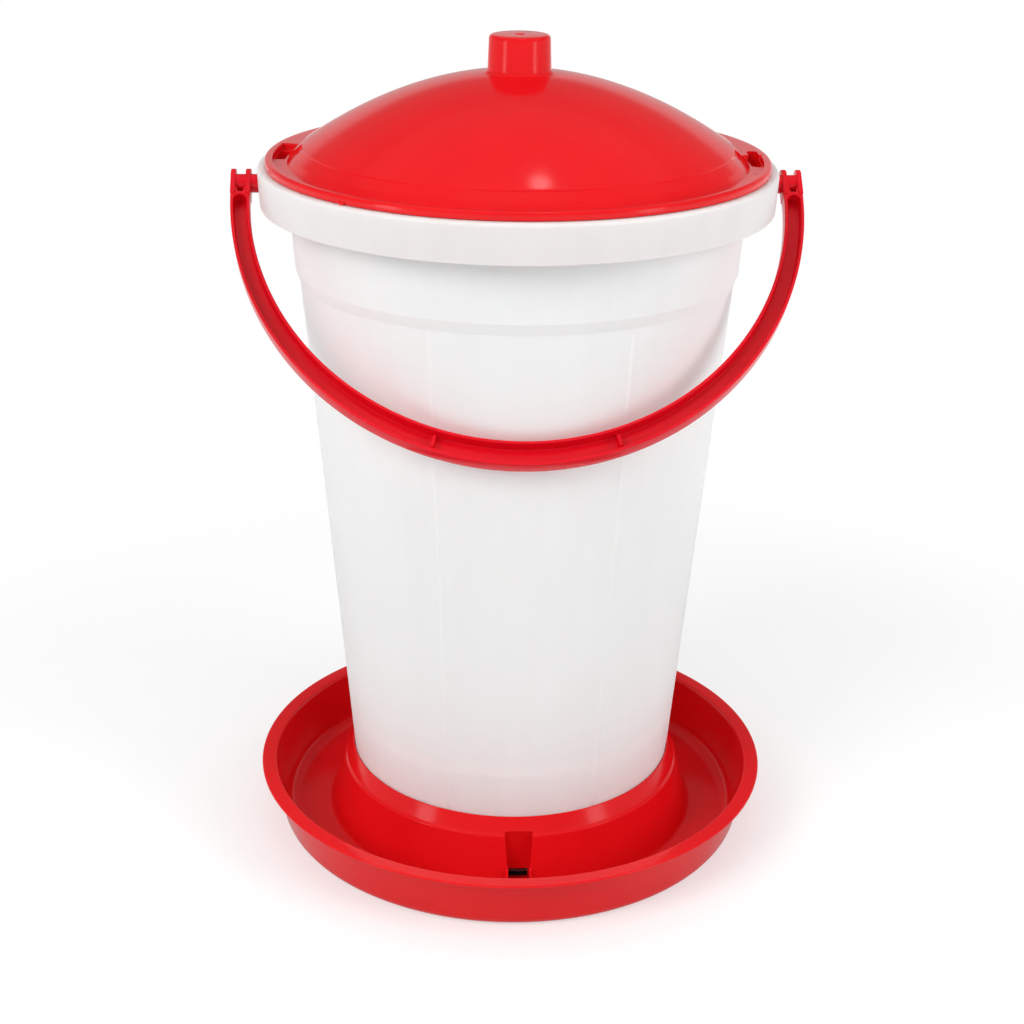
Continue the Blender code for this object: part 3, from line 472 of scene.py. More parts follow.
# %% [markdown]
# ## The lid
# The lid is one moulding: a knob on a shallow dome, a ledge round the dome's foot, a groove that
# runs round the front half only, and an outer lip. Two dents cut through the ledge near the
# groove's ends, where the mould has slides, and beside them a square and a round pocket hollow the
# hooks that turn under the bucket's rim. The groove is a change of depth with the azimuth, so the
# profile function describes it. The dents and pockets have clear edges and are cut afterwards.

# %% Sizes of the lid
KNOB_TOP = 0.5448
KNOB_RADIUS = 0.0192
KNOB_FOOT_RADIUS = 0.0201
KNOB_FILLET = 0.0036
KNOB_TOP_FILLET = 0.0026
DIMPLE_RADIUS, DIMPLE_DEPTH = 0.0034, 0.0006
DOME_FOOT_RADIUS = 0.1375
DOME_FOOT_Z = 0.4764
DOME_RISE = 0.0465
DOME_END_RADIUS = 0.1362
DOME_RINGS, DOME_RINGS_FROM, DOME_RINGS_TO = 29, 0.0250, 0.1345
LEDGE_INNER, LEDGE_TOP = 0.1366, 0.4764
LEDGE_RADIUS = 0.1424
LEDGE_Z = 0.4716
FLANGE_TOP = 0.4703
FLANGE_BOTTOM = 0.4651
LID_RADIUS = 0.1600
GROOVE_INNER = 0.1460
GROOVE_OUTER = 0.1549
GROOVE_FLOOR = 0.4672
RECESS_DEPTH = 0.0009
GROOVE_ENDS = (radians(-103.0), radians(90.0))
RECESSES = ((GROOVE_ENDS[0], radians(-83.0)), (radians(73.0), GROOVE_ENDS[1]))
LEDGE_DENTS = ((radians(-90.5), radians(-81.5)), (radians(70.0), radians(85.0)))
DENT_RADIUS, DENT_Z = 0.1386, 0.4724
DENT_FLOOR = FLANGE_TOP - 0.0012
LEFT_HOOK = (radians(-95.3), radians(4.8))
RIGHT_HOOK = (radians(88.9), radians(6.4))
HOOK_INNER, HOOK_OUTER, TONGUE_RADIUS = 0.1461, 0.1559, 0.1590
HOOK_FLOOR, TONGUE_TOP, POCKET_FLOOR = 0.4599, 0.4623, 0.4612
HOOK_WALL = 0.0014
LID_WALL = 0.0022
PLUG_RADIUS = 0.1428
PLUG_BOTTOM = FLANGE_BOTTOM - 0.0126
GASKET_TOP, GASKET_BOTTOM, GASKET_SEAT = 0.4593, 0.4547, 0.1408
SOFT_WALL = radians(0.28)


def dome_z(radius):
    return DOME_FOOT_Z + DOME_RISE * (1 - (radius / DOME_FOOT_RADIUS) ** 2)


def any_window(azimuth, ranges, soft=SOFT_WALL):
    return max(window(azimuth, start, end, soft) for start, end in ranges)


print("dome top at", round(dome_z(0), 4))

# %% [markdown]
# The profile starts at the top of the knob and runs down the dome. A small step leads to the
# ledge, behind which the wall drops into the groove. The profile then runs over the lip, and comes
# back underneath through the skirt with its gasket groove. The fillets at the knob's foot and on the
# lip are small, as on the real lid, where they show as thin bright lines.

# %% The lid's profile
def lid_top(azimuth):
    groove = any_window(azimuth, [GROOVE_ENDS])
    recess = any_window(azimuth, RECESSES)
    floor = FLANGE_TOP - groove * (FLANGE_TOP - GROOVE_FLOOR) - recess * RECESS_DEPTH
    dimple = KNOB_TOP - DIMPLE_DEPTH
    corners = [(0, dimple, 0), (0.0020, dimple, 0.0008), (DIMPLE_RADIUS, KNOB_TOP, 0.0008)]
    corners += [(KNOB_RADIUS, KNOB_TOP, KNOB_TOP_FILLET)]
    corners += [(KNOB_FOOT_RADIUS, dome_z(KNOB_FOOT_RADIUS), KNOB_FILLET)]
    for i in range(DOME_RINGS):
        r = mix(DOME_RINGS_FROM, DOME_RINGS_TO, i / (DOME_RINGS - 1))
        corners.append((r, dome_z(r), 0))
    corners += [(DOME_END_RADIUS, dome_z(DOME_END_RADIUS), 0.0003)]
    corners += [(LEDGE_INNER, LEDGE_TOP, 0.0003)]
    wall = (mix(LEDGE_RADIUS, GROOVE_INNER, 0.5), mix(LEDGE_Z, floor, 0.5))
    foot = (LEDGE_RADIUS + 0.0008, FLANGE_TOP)
    bend = [mix(a, b, groove) for a, b in zip(foot, wall)]
    corners += [(LEDGE_RADIUS, LEDGE_Z, 0.0006), (*bend, 0.0004), (GROOVE_INNER, floor, 0.0008)]
    corners += [(GROOVE_OUTER - 0.0002, floor, 0.0006), (GROOVE_OUTER, FLANGE_TOP, 0.0007)]
    return corners


def lid_bottom(azimuth):
    hook = any_window(azimuth, [(a - half, a + half) for a, half in (LEFT_HOOK, RIGHT_HOOK)])
    under = mix(FLANGE_BOTTOM, TONGUE_TOP, hook)
    corners = [(LID_RADIUS, FLANGE_TOP, 0.0020), (LID_RADIUS, FLANGE_BOTTOM, 0.0005)]
    corners += [(HOOK_OUTER, FLANGE_BOTTOM, 0), (HOOK_OUTER, under, 0)]
    corners += [(mix(HOOK_OUTER, TONGUE_RADIUS, hook), under, 0)]
    corners += [(mix(HOOK_OUTER, TONGUE_RADIUS, hook), mix(FLANGE_BOTTOM, HOOK_FLOOR, hook), 0)]
    corners += [(HOOK_INNER, mix(FLANGE_BOTTOM, HOOK_FLOOR, hook), 0)]
    corners += [(HOOK_INNER, FLANGE_BOTTOM, 0)]
    corners += [(PLUG_RADIUS, FLANGE_BOTTOM, 0.0008), (PLUG_RADIUS, GASKET_TOP, 0)]
    corners += [(GASKET_SEAT, GASKET_TOP, 0), (GASKET_SEAT, GASKET_BOTTOM, 0)]
    corners += [(PLUG_RADIUS, GASKET_BOTTOM, 0), (PLUG_RADIUS, PLUG_BOTTOM, 0.0010)]
    inner = GASKET_SEAT - 0.0014
    corners += [(inner, PLUG_BOTTOM, 0.0005), (inner, DOME_FOOT_Z - LID_WALL - 0.0015, 0.0015)]
    for i in range(11):
        r = mix(DOME_FOOT_RADIUS - 0.0015, KNOB_FOOT_RADIUS - LID_WALL + 0.001, i / 10)
        corners.append((r, dome_z(r) - LID_WALL, 0))
    corners += [(KNOB_RADIUS - LID_WALL, KNOB_TOP - LID_WALL, 0.001), (0, KNOB_TOP - LID_WALL, 0)]
    return corners


# %% Turn the lid
lid_edges = [(a, SOFT_WALL) for pair in RECESSES for a in pair]
for azimuth, half in (LEFT_HOOK, RIGHT_HOOK):
    lid_edges += [(azimuth - half, SOFT_WALL), (azimuth + half, SOFT_WALL)]
lid = turn("lid_shell", lambda a: rounded(lid_top(a) + lid_bottom(a)), stops(lid_edges), glossy_red)
print("lid:", len(lid.data.vertices), "vertices")

# %% [markdown]
# The dents only take the ledge away, so their cutters slope from the dome's end down to the
# groove's floor. A lump is joined underneath first, which keeps the wall closed. A small nub
# stands under the lip at the front left, the mark of the mould's gate.

# %% Dents, pockets and nub
POCKET_STEPS = 16
NUB_AZIMUTH = radians(-42.0)
NUB_HALF_WIDTH = 0.0021


def round_pocket():
    azimuth, half = RIGHT_HOOK
    middle = (HOOK_INNER + HOOK_OUTER) / 2
    radius = (HOOK_OUTER - HOOK_INNER) / 2 - HOOK_WALL
    reach = half - (HOOK_WALL + radius) / middle
    plan = []
    for sign in (1, -1):
        for i in range(POCKET_STEPS + 1):
            angle = pi * i / POCKET_STEPS
            across, along = sign * radius * cos(angle), sign * radius * sin(angle)
            plan.append(spot(middle + across, azimuth + sign * reach + along / middle, 0))
    return loft("round pocket", [[(p.x, p.y, z) for p in plan] for z in (POCKET_FLOOR, KNOB_TOP)])


def lip_nub():
    sections = []
    for share in (-1, -0.6, 0.6, 1):
        azimuth = NUB_AZIMUTH + share * NUB_HALF_WIDTH / LID_RADIUS
        tall = 0.0011 if abs(share) < 1 else 0.0004
        low = FLANGE_BOTTOM - tall + 0.0009
        inner, outer = LID_RADIUS - 0.0015, LID_RADIUS + (0.0010 if abs(share) < 1 else 0.0005)
        sections.append([spot(r, azimuth, z) for r, z in
                         ((inner, low), (outer, low), (outer, low + 0.0016), (inner, low + 0.0016))])
    return loft("lip nub", sections)


def square_pocket():
    azimuth, half = LEFT_HOOK
    inner, outer = HOOK_INNER + HOOK_WALL, HOOK_OUTER - HOOK_WALL
    outline = [(inner, POCKET_FLOOR), (outer, POCKET_FLOOR), (outer, KNOB_TOP), (inner, KNOB_TOP)]
    half -= HOOK_WALL / outer
    return soften(sector("square pocket", outline, azimuth - half, azimuth + half), 0.0006)


def ledge_dent(start, end):
    """The wedge that is cut out of the ledge between two azimuths."""
    outline = [(DOME_END_RADIUS, LEDGE_TOP + 0.0004), (DENT_RADIUS, DENT_Z)]
    outline += [(GROOVE_INNER + 0.0004, GROOVE_FLOOR - RECESS_DEPTH), (GROOVE_INNER + 0.0004, KNOB_TOP)]
    outline += [(DOME_END_RADIUS - 0.0006, KNOB_TOP)]
    return soften(sector("ledge dent", outline, start, end), 0.0005, 2, 60)


def dent_floor(start, end):
    """The lump under a dent that keeps the wall closed."""
    inner, outer, spare = DENT_RADIUS - 2 * LID_WALL, LEDGE_RADIUS - 0.0006, radians(1.0)
    outline = [(inner, DENT_FLOOR - LID_WALL), (outer, DENT_FLOOR - LID_WALL), (outer, LEDGE_Z - 0.0014)]
    outline += [(inner, dome_z(inner) - LID_WALL / 2)]
    return sector("dent floor", outline, start - spare, end + spare)


for start, end in LEDGE_DENTS:
    boolean(lid, dent_floor(start, end), "UNION")
    boolean(lid, ledge_dent(start, end), "DIFFERENCE")
boolean(lid, square_pocket(), "DIFFERENCE")
boolean(lid, round_pocket(), "DIFFERENCE")
boolean(lid, lip_nub(), "UNION")
lid.data.shade_smooth()
lid.data.set_sharp_from_angle(angle=radians(40))
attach(lid, "lid")
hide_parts("lid")
print("lid done:", len(lid.data.polygons), "faces")

# %% [markdown]
# ## The bucket
# The bucket is a tapered shell with a shoulder, a neck and a wide rim band that hangs from a
# flange. Seven flat ribs run down its outside and show as faint double lines. A rib is a small
# window of azimuths in which the wall stands a little proud, so the ribs come out of the same
# turned grid. The rim, the shoulder and the foot get fillets of their real sizes.

# %% Sizes of the bucket
WALL = 0.0022
RIM_TOP, RIM_RADIUS, RIM_BAND_BOTTOM = 0.4648, 0.1650, 0.4406
BAND_FOOT_RADIUS = 0.1638
NECK_RADIUS, NECK_STRAIGHT_FROM = 0.1456, 0.4385
SHOULDER = ((0.1401, 0.3930), (0.1429, 0.4005))
SKIRT_FOOT = (0.1119, 0.0515)
SKIRT_BOTTOM = 0.0048
FLOOR_TOP, FLOOR_UNDER = 0.0860, 0.0835
RIBS = 7
RIB_AZIMUTH = radians(26.8)
RIB_HALF_ANGLE = radians(0.58)
RIB_SOFT = radians(0.30)
RIB_PROUD = 0.00022
RIB_ENDS = (0.0560, 0.3885)


def skirt_radius(z):
    (r0, z0), (r1, z1) = SKIRT_FOOT, SHOULDER[0]
    return r0 + (r1 - r0) * (z - z0) / (z1 - z0)


def rib_azimuths():
    return [(RIB_AZIMUTH + 2 * pi * i / RIBS + pi) % (2 * pi) - pi for i in range(RIBS)]


def bucket_profile(azimuth):
    proud = RIB_PROUD * any_window(azimuth, [(a - RIB_HALF_ANGLE, a + RIB_HALF_ANGLE)
                                             for a in rib_azimuths()], RIB_SOFT)
    seat = NECK_RADIUS - WALL
    low, high = RIB_ENDS
    corners = [(seat, RIM_TOP, 0.0008), (RIM_RADIUS, RIM_TOP, 0.0022)]
    corners += [(BAND_FOOT_RADIUS, RIM_BAND_BOTTOM, 0.0008)]
    corners += [(BAND_FOOT_RADIUS - WALL, RIM_BAND_BOTTOM, 0.0006)]
    corners += [(RIM_RADIUS - WALL, RIM_TOP - WALL, 0.0010), (NECK_RADIUS, RIM_TOP - WALL, 0.0010)]
    corners += [(NECK_RADIUS, NECK_STRAIGHT_FROM, 0.0100), (*SHOULDER[1], 0.0016)]
    corners += [(*SHOULDER[0], 0.0016), (skirt_radius(high + 0.0006), high + 0.0006, 0)]
    corners += [(skirt_radius(high) + proud, high, 0.0003), (skirt_radius(low) + proud, low, 0.0003)]
    corners += [(skirt_radius(low - 0.0006), low - 0.0006, 0)]
    corners += [(skirt_radius(SKIRT_BOTTOM), SKIRT_BOTTOM, 0.0006)]
    corners += [(skirt_radius(SKIRT_BOTTOM) - WALL, SKIRT_BOTTOM, 0.0006)]
    corners += [(skirt_radius(FLOOR_UNDER) - WALL, FLOOR_UNDER, 0.0012), (0, FLOOR_UNDER, 0)]
    corners += [(0, FLOOR_TOP, 0), (skirt_radius(FLOOR_TOP) - WALL, FLOOR_TOP, 0.0050)]
    corners += [(SHOULDER[0][0] - WALL, SHOULDER[0][1], 0.0010)]
    corners += [(SHOULDER[1][0] - WALL, SHOULDER[1][1], 0.0010), (seat, NECK_STRAIGHT_FROM, 0.0100)]
    return corners


# %% Turn the bucket
rib_edges = [(a + sign * RIB_HALF_ANGLE, RIB_SOFT) for a in rib_azimuths() for sign in (-1, 1)]
bucket = turn("bucket_shell", lambda a: rounded(bucket_profile(a)), stops(rib_edges), milky)
print("bucket:", len(bucket.data.vertices), "vertices")

# %% [markdown]
# What isn't turned on the bucket is hidden or half hidden, and is joined or cut with Booleans: the
# bosses and holes for the bail's pins, the slots that the lid's hooks turn in, the duct under the
# floor with its mouth at the foot, and the lugs of the twist lock. They matter because the wall is
# translucent, and because they show when the bail swings.

# %% Details of the bucket
PIVOT_HEIGHT = 0.4515
PIN_RADIUS = 0.0059
PIN_TIP = 0.1560
HOLE_RADIUS = 0.0063
BOSS_RADIUS = 0.0078
LID_TURN = radians(12.0)
SLOT_SPARE = radians(0.8)
DUCT_HALF_WIDTH, DUCT_DEPTH, DUCT_WALL = 0.0120, 0.0185, 0.0022
LUG_AZIMUTHS = (radians(60), radians(180), radians(-60))
LUG_HALF_ANGLE = radians(9)
LUG_RADIUS, LUG_BOTTOM, LUG_TOP = 0.1116, 0.0122, 0.0167
MOUTH_HALF_WIDTH, MOUTH_TOP = 0.0062, 0.0122
SLOT_INNER, SLOT_GAP, SLOT_DEPTH = 0.14585, 0.0005, 0.0042
PIN_END_GAP = 0.0008
CUT_SPARE = 0.002


def rod(name, radius, x0, x1, z, sides=48):
    sections = [[(x, radius * cos(2 * pi * i / sides), z + radius * sin(2 * pi * i / sides))
                 for i in range(sides)] for x in (x0, x1)]
    return loft(name, sections)


def block(name, low, high, material=None):
    (x0, y0, z0), (x1, y1, z1) = low, high
    plan = [(x0, y0), (x1, y0), (x1, y1), (x0, y1)]
    return loft(name, [[(x, y, z) for x, y in plan] for z in (z0, z1)], material)


def rim_slot(azimuth, half):
    reach = half + SLOT_SPARE
    start, end = azimuth - reach, azimuth + LID_TURN + reach
    wide_from = end - 2 * reach
    stop = [mix(start, end, i / 20) for i in range(21)]
    plan = [spot(SLOT_INNER, a, 0) for a in stop]
    plan += [spot(TONGUE_RADIUS + SLOT_GAP, mix(end, wide_from, i / 10), 0) for i in range(11)]
    plan += [spot(HOOK_OUTER + SLOT_GAP, mix(wide_from, start, i / 10), 0) for i in range(11)]
    heights = (RIM_TOP - SLOT_DEPTH, RIM_TOP + CUT_SPARE)
    return loft("rim slot", [[(p.x, p.y, z) for p in plan] for z in heights])


for side in (-1, 1):
    near, far = NECK_RADIUS - WALL / 2, BAND_FOOT_RADIUS - WALL / 2
    boolean(bucket, rod("boss", BOSS_RADIUS, side * near, side * far, PIVOT_HEIGHT), "UNION")
    deep, outside = PIN_TIP - PIN_END_GAP, RIM_RADIUS + 0.005
    boolean(bucket, rod("pin hole", HOLE_RADIUS, side * deep, side * outside, PIVOT_HEIGHT), "DIFFERENCE")
for hook in (LEFT_HOOK, RIGHT_HOOK):
    boolean(bucket, rim_slot(*hook), "DIFFERENCE")
duct_front = -skirt_radius(SKIRT_BOTTOM) + WALL / 2
boolean(bucket, block("duct", (-DUCT_HALF_WIDTH, duct_front, SKIRT_BOTTOM),
                      (DUCT_HALF_WIDTH, duct_front + DUCT_DEPTH, FLOOR_TOP - 0.0012)), "UNION")
bore = DUCT_HALF_WIDTH - DUCT_WALL
boolean(bucket, block("duct bore", (-bore, duct_front + 0.0014, SKIRT_BOTTOM + 0.0011),
                      (bore, duct_front + DUCT_DEPTH - DUCT_WALL, FLOOR_TOP + 0.004)), "DIFFERENCE")
boolean(bucket, block("duct mouth", (-MOUTH_HALF_WIDTH, duct_front - 0.006, SKIRT_BOTTOM + 0.0014),
                      (MOUTH_HALF_WIDTH, duct_front + DUCT_DEPTH / 2, MOUTH_TOP)), "DIFFERENCE")
for azimuth in LUG_AZIMUTHS:
    root = skirt_radius(LUG_BOTTOM) - WALL / 2
    lug = [(root, LUG_BOTTOM), (LUG_RADIUS, LUG_BOTTOM), (LUG_RADIUS, LUG_TOP), (root, LUG_TOP)]
    boolean(bucket, sector("lug", lug, azimuth - LUG_HALF_ANGLE, azimuth + LUG_HALF_ANGLE), "UNION")
bucket.data.shade_smooth()
bucket.data.set_sharp_from_angle(angle=radians(40))
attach(bucket, "bucket")
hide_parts("bucket")
print("bucket done:", len(bucket.data.polygons), "faces")

# %% [markdown]
# ## The tray
# The tray is a trough with a rolled lip, and a collar that rises in its middle to a cone round the
# bucket's foot. The collar's edge has two soft bends close together, which the light draws as a
# faint and a bright line. The water notch at the front is cut down through the collar, narrower
# below, and its back sweeps forward at the top.

# %% Sizes of the tray
TRAY_LIP_RADIUS, TRAY_LIP_TOP, TRAY_LIP_UNDER = 0.1784, 0.0410, 0.0388
TRAY_WALL = 0.0030
TRAY_WALL_LOW, TRAY_WALL_HIGH = (0.1648, 0.0088), (0.1706, 0.0388)
TROUGH_FLOOR = 0.0028
COLLAR_FOOT, COLLAR_EDGE, COLLAR_TOP = (0.1285, 0.0028), (0.1193, 0.0400), 0.0515
COLLAR_WALL = 0.0023
SLEEVE = 0.1122
SLEEVE_WALL = 0.0022
WELL_FLOOR, WELL_UNDER = 0.0045, 0.0023


def between(low, high, z):
    return low[0] + (high[0] - low[0]) * (z - low[1]) / (high[1] - low[1])


def collar_radius(z):
    return between(COLLAR_FOOT, COLLAR_EDGE, z)


def tray_wall_radius(z):
    return between(TRAY_WALL_LOW, TRAY_WALL_HIGH, z)


def tray_profile(azimuth):
    top_bend = (COLLAR_EDGE[0] - 0.0016, COLLAR_EDGE[1] + 0.0016)
    corners = [(0, WELL_FLOOR, 0), (SLEEVE, WELL_FLOOR, 0.0008), (SLEEVE, COLLAR_TOP, 0.0005)]
    corners += [(SLEEVE + 0.0009, COLLAR_TOP, 0.0005), (*top_bend, 0.0009), (*COLLAR_EDGE, 0.0008)]
    corners += [(collar_radius(0.0384), 0.0384, 0.0006), (*COLLAR_FOOT, 0.0036)]
    corners += [(tray_wall_radius(TROUGH_FLOOR) - TRAY_WALL, TROUGH_FLOOR, 0.0100)]
    corners += [(TRAY_WALL_HIGH[0] - TRAY_WALL, TRAY_LIP_UNDER, 0.0010)]
    corners += [(TRAY_WALL_HIGH[0] - TRAY_WALL + 0.0011, TRAY_LIP_TOP, 0.0009)]
    corners += [(TRAY_LIP_RADIUS, TRAY_LIP_TOP, 0.0010), (TRAY_LIP_RADIUS, TRAY_LIP_UNDER, 0.0010)]
    corners += [(TRAY_WALL_HIGH[0], TRAY_LIP_UNDER, 0.0012), (tray_wall_radius(0), 0, 0.0088)]
    corners += [(collar_radius(0) - COLLAR_WALL, 0, 0.0005)]
    corners += [(collar_radius(0.0377) - COLLAR_WALL, 0.0377, 0.0010)]
    corners += [(SLEEVE + SLEEVE_WALL, 0.0408, 0.0006), (SLEEVE + SLEEVE_WALL, WELL_UNDER, 0.0005)]
    corners += [(0, WELL_UNDER, 0)]
    return corners


# %% Turn the tray
tray = turn("tray_shell", lambda a: rounded(tray_profile(a), 5), stops([]), glossy_red)
print("tray:", len(tray.data.vertices), "vertices")

# %% [markdown]
# The hollow behind the collar is closed by side walls before the notch is cut through, so that the
# notch is a real channel. Two small fins guide the water at its foot. They are softened before
# they are joined, because a bevel works best on a simple block.

# %% Water notch and fins
NOTCH_LOW_HALF, NOTCH_HIGH_HALF = (0.0069, 0.0100), (0.0093, 0.0425)
NOTCH_SWEEP = 0.0060
NOTCH_FLAT_TO = 0.0280
FIN_WIDTH, FIN_TOP, FIN_PROUD, FIN_DEPTH = 0.0021, 0.0188, 0.0016, 0.0045
OUTLET_HALF_WIDTH, OUTLET_TOP = 0.0066, 0.0125
TAB_BOTTOM, TAB_TOP, TAB_GAP = 0.0170, 0.0210, 0.0006
STOP_BOTTOM, STOP_TOP = 0.0034, 0.0190


def notch_half(z):
    return between(NOTCH_LOW_HALF, NOTCH_HIGH_HALF, z)


def notch_cutter():
    back, beyond = SLEEVE + SLEEVE_WALL + 0.0003, COLLAR_FOOT[0] + 0.008
    swept_to = COLLAR_TOP - COLLAR_WALL * 2
    side = [(-beyond, TROUGH_FLOOR), (-back, TROUGH_FLOOR)]
    for i in range(15):
        angle = pi / 2 * i / 14
        side.append((-back - NOTCH_SWEEP * (1 - cos(angle)),
                     mix(NOTCH_FLAT_TO, swept_to, sin(angle))))
    side += [(-beyond, COLLAR_TOP + 0.004)]
    return loft("notch cutter", [[(sign * notch_half(z), y, z) for y, z in side] for sign in (-1, 1)])


def notch_walls():
    low, high = TROUGH_FLOOR - COLLAR_WALL / 2, COLLAR_EDGE[1] - COLLAR_WALL / 2
    inner = SLEEVE + SLEEVE_WALL / 2
    outline = [(inner, low), (collar_radius(low) - COLLAR_WALL / 2, low)]
    outline += [(collar_radius(high) - COLLAR_WALL / 2, high), (inner, COLLAR_EDGE[1] + COLLAR_WALL)]
    half = (NOTCH_HIGH_HALF[0] + 0.0022) / SLEEVE
    return sector("notch walls", outline, -half, half)


def fin(sign):
    inner = notch_half(NOTCH_LOW_HALF[1])
    faces = []
    for z in (TROUGH_FLOOR / 2, FIN_TOP):
        front = -collar_radius(z) - FIN_PROUD
        faces.append([(sign * x, y, z) for x, y in
                      ((inner, front), (inner + FIN_WIDTH, front),
                       (inner + FIN_WIDTH, front + FIN_DEPTH), (inner, front + FIN_DEPTH))])
    return soften(loft("fin", faces), 0.0004)


boolean(tray, notch_walls(), "UNION")
boolean(tray, notch_cutter(), "DIFFERENCE")
boolean(tray, fin(-1), "UNION")
boolean(tray, fin(1), "UNION")
boolean(tray, block("outlet", (-OUTLET_HALF_WIDTH, -SLEEVE - 0.006, WELL_FLOOR + 0.0003),
                    (OUTLET_HALF_WIDTH, -SLEEVE + 0.004, OUTLET_TOP)), "DIFFERENCE")
for azimuth in LUG_AZIMUTHS:
    start = azimuth - LUG_HALF_ANGLE - radians(2.4)
    inner, outer = skirt_radius(TAB_TOP) + TAB_GAP, SLEEVE + SLEEVE_WALL / 2
    tab = [(inner, TAB_BOTTOM), (outer, TAB_BOTTOM), (outer, TAB_TOP), (inner, TAB_TOP)]
    boolean(tray, sector("tab", tab, start, azimuth + LUG_HALF_ANGLE), "UNION")
    near = inner + 0.0003
    stop = [(near, STOP_BOTTOM), (outer, STOP_BOTTOM), (outer, STOP_TOP), (near, STOP_TOP)]
    boolean(tray, sector("stop", stop, start + 0.003, start + radians(2.2), 3), "UNION")
tray.data.shade_smooth()
tray.data.set_sharp_from_angle(angle=radians(40))
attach(tray, "tray")
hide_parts("tray")
print("tray done:", len(tray.data.polygons), "faces")

# %% [markdown]
# ## The bail
# The bail is swept: a section with a deep channel runs along half an ellipse, from one head to the
# other. The section changes on the way. It grows wider towards the grip, its channel closes in a
# half circle below each head, and two ribs cross it, whose top edges dip in the middle. As with
# the lid, these are numbers that depend on the place along the sweep, so the mesh stays one grid.

# %% Sizes of the bail
BAIL_HALF_WIDTH = RIM_RADIUS + 0.0044
BAIL_THICKNESS, SIDE_WIDTH, GRIP_WIDTH = 0.0110, 0.0123, 0.0157
LEG, DROP = 0.0110, 0.1763
CHANNEL_WALL, CHANNEL_DEPTH = 0.0020, 0.0080
HEAD_THICKNESS, HEAD_REACH = 0.0126, 0.0112
CHEEK, CHEEK_TOP, WEB, WEB_TOP = 0.0031, 0.0098, 0.0026, 0.0070
CHANNEL_END_Z = -0.0118
BAR_TOP_Z = -0.0060
POCKET_BOTTOM_Z = -0.0096
BAIL_RIB_ANGLES = (radians(-18.5), radians(18.5))
BAIL_RIB_HALF, BAIL_RIB_HEIGHT, BAIL_RIB_DIP = radians(0.36), 0.0062, 0.0012
BAIL_RIB_SOFT = radians(0.12)
BAIL_STEPS = 180


def resting_tilt():
    """The tilt from hanging straight down at which the bail's back edge leans on the bucket."""
    reach, half, tilt = LEG + DROP, BAIL_THICKNESS / 2, 0.0
    for _ in range(20):
        edge_height = PIVOT_HEIGHT - reach * cos(tilt) - half * sin(tilt)
        wall = skirt_radius(edge_height) + 0.0003
        tilt = atan2(1, sqrt((reach / (wall + half * cos(tilt))) ** 2 - 1))
    return tilt


def bail_edges(angle):
    """The inner and the outer edge (x, z) at an angle of the sweep, 0 at the lowest point."""
    inner = (BAIL_HALF_WIDTH, DROP)
    outer = (BAIL_HALF_WIDTH + SIDE_WIDTH, DROP + GRIP_WIDTH)
    return [Vector((half * sin(angle), -LEG - drop * cos(angle))) for half, drop in (inner, outer)]


def channel_at(angle):
    """Half width of the channel at an angle of the sweep."""
    inner, outer = bail_edges(angle)
    widest = (outer - inner).length / 2 - CHANNEL_WALL
    end_radius = SIDE_WIDTH / 2 - CHANNEL_WALL
    beyond = (inner.y + outer.y) / 2 - (CHANNEL_END_Z - end_radius)
    if beyond <= 0:
        return widest
    return widest * sqrt(max(0.0, 1 - (beyond / end_radius) ** 2))


def bail_section(angle):
    inner, outer = bail_edges(angle)
    width, half = (outer - inner).length, BAIL_THICKNESS / 2
    channel = channel_at(angle)
    depth = CHANNEL_DEPTH if channel > 0.0001 else 0.0
    rib = max(window(angle, a - BAIL_RIB_HALF, a + BAIL_RIB_HALF, BAIL_RIB_SOFT)
              for a in BAIL_RIB_ANGLES)
    middle = width / 2
    corners = [(0, half, 0.0016), (width, half, 0.0016), (width, -half, 0.0007)]
    corners += [(middle + channel, -half, 0.0006), (middle + channel, -half + depth, 0.0008)]
    for share in (0.6, 0.3, 0, -0.3, -0.6):
        lift = rib * (BAIL_RIB_HEIGHT - BAIL_RIB_DIP * (1 - share ** 2))
        corners.append((middle + channel * share, -half + depth - lift, 0))
    corners += [(middle - channel, -half + depth, 0.0008), (middle - channel, -half, 0.0006)]
    corners += [(0, -half, 0.0007)]
    along = (outer - inner) / width
    flat = [(inner + along * u, y) for u, y in rounded(corners)]
    return [(p.x, y, p.y) for p, y in flat]


def bail_angles():
    found = {round(-pi / 2 + pi * i / BAIL_STEPS, 7) for i in range(BAIL_STEPS + 1)}
    for a in BAIL_RIB_ANGLES:
        for edge in (a - BAIL_RIB_HALF, a + BAIL_RIB_HALF):
            found |= {round(edge + BAIL_RIB_SOFT * k / 6, 7) for k in range(-3, 4)}
    end_radius = SIDE_WIDTH / 2 - CHANNEL_WALL
    drop = DROP + GRIP_WIDTH / 2
    for i in range(13):
        z = CHANNEL_END_Z - end_radius * (1 - cos(pi / 2 * i / 12)) - 0.00001
        rise = pi / 2 - asin((-z - LEG) / drop)
        found |= {round(rise, 7), round(-rise, 7)}
    return sorted(found)


# %% Sweep the bail
def head_end(side):
    """The section at the upper end of a leg, inside the head."""
    section = bail_section(side * pi / 2)
    return [(x, y, BAR_TOP_Z) for x, y, _ in section]


sweep = [head_end(-1)] + [bail_section(a) for a in bail_angles()] + [head_end(1)]
bail = loft("bail", sweep, bail_red)
print("bail:", len(bail.data.vertices), "vertices")

# %% [markdown]
# Each head has two cheeks with round tops, a web behind them whose top bulges between the cheeks,
# and a stub pin that runs through both cheeks and points inwards. Below the pin a pocket narrows
# downwards in front of the web. The parts are softened one by one, joined, and only then is the
# pocket cut.

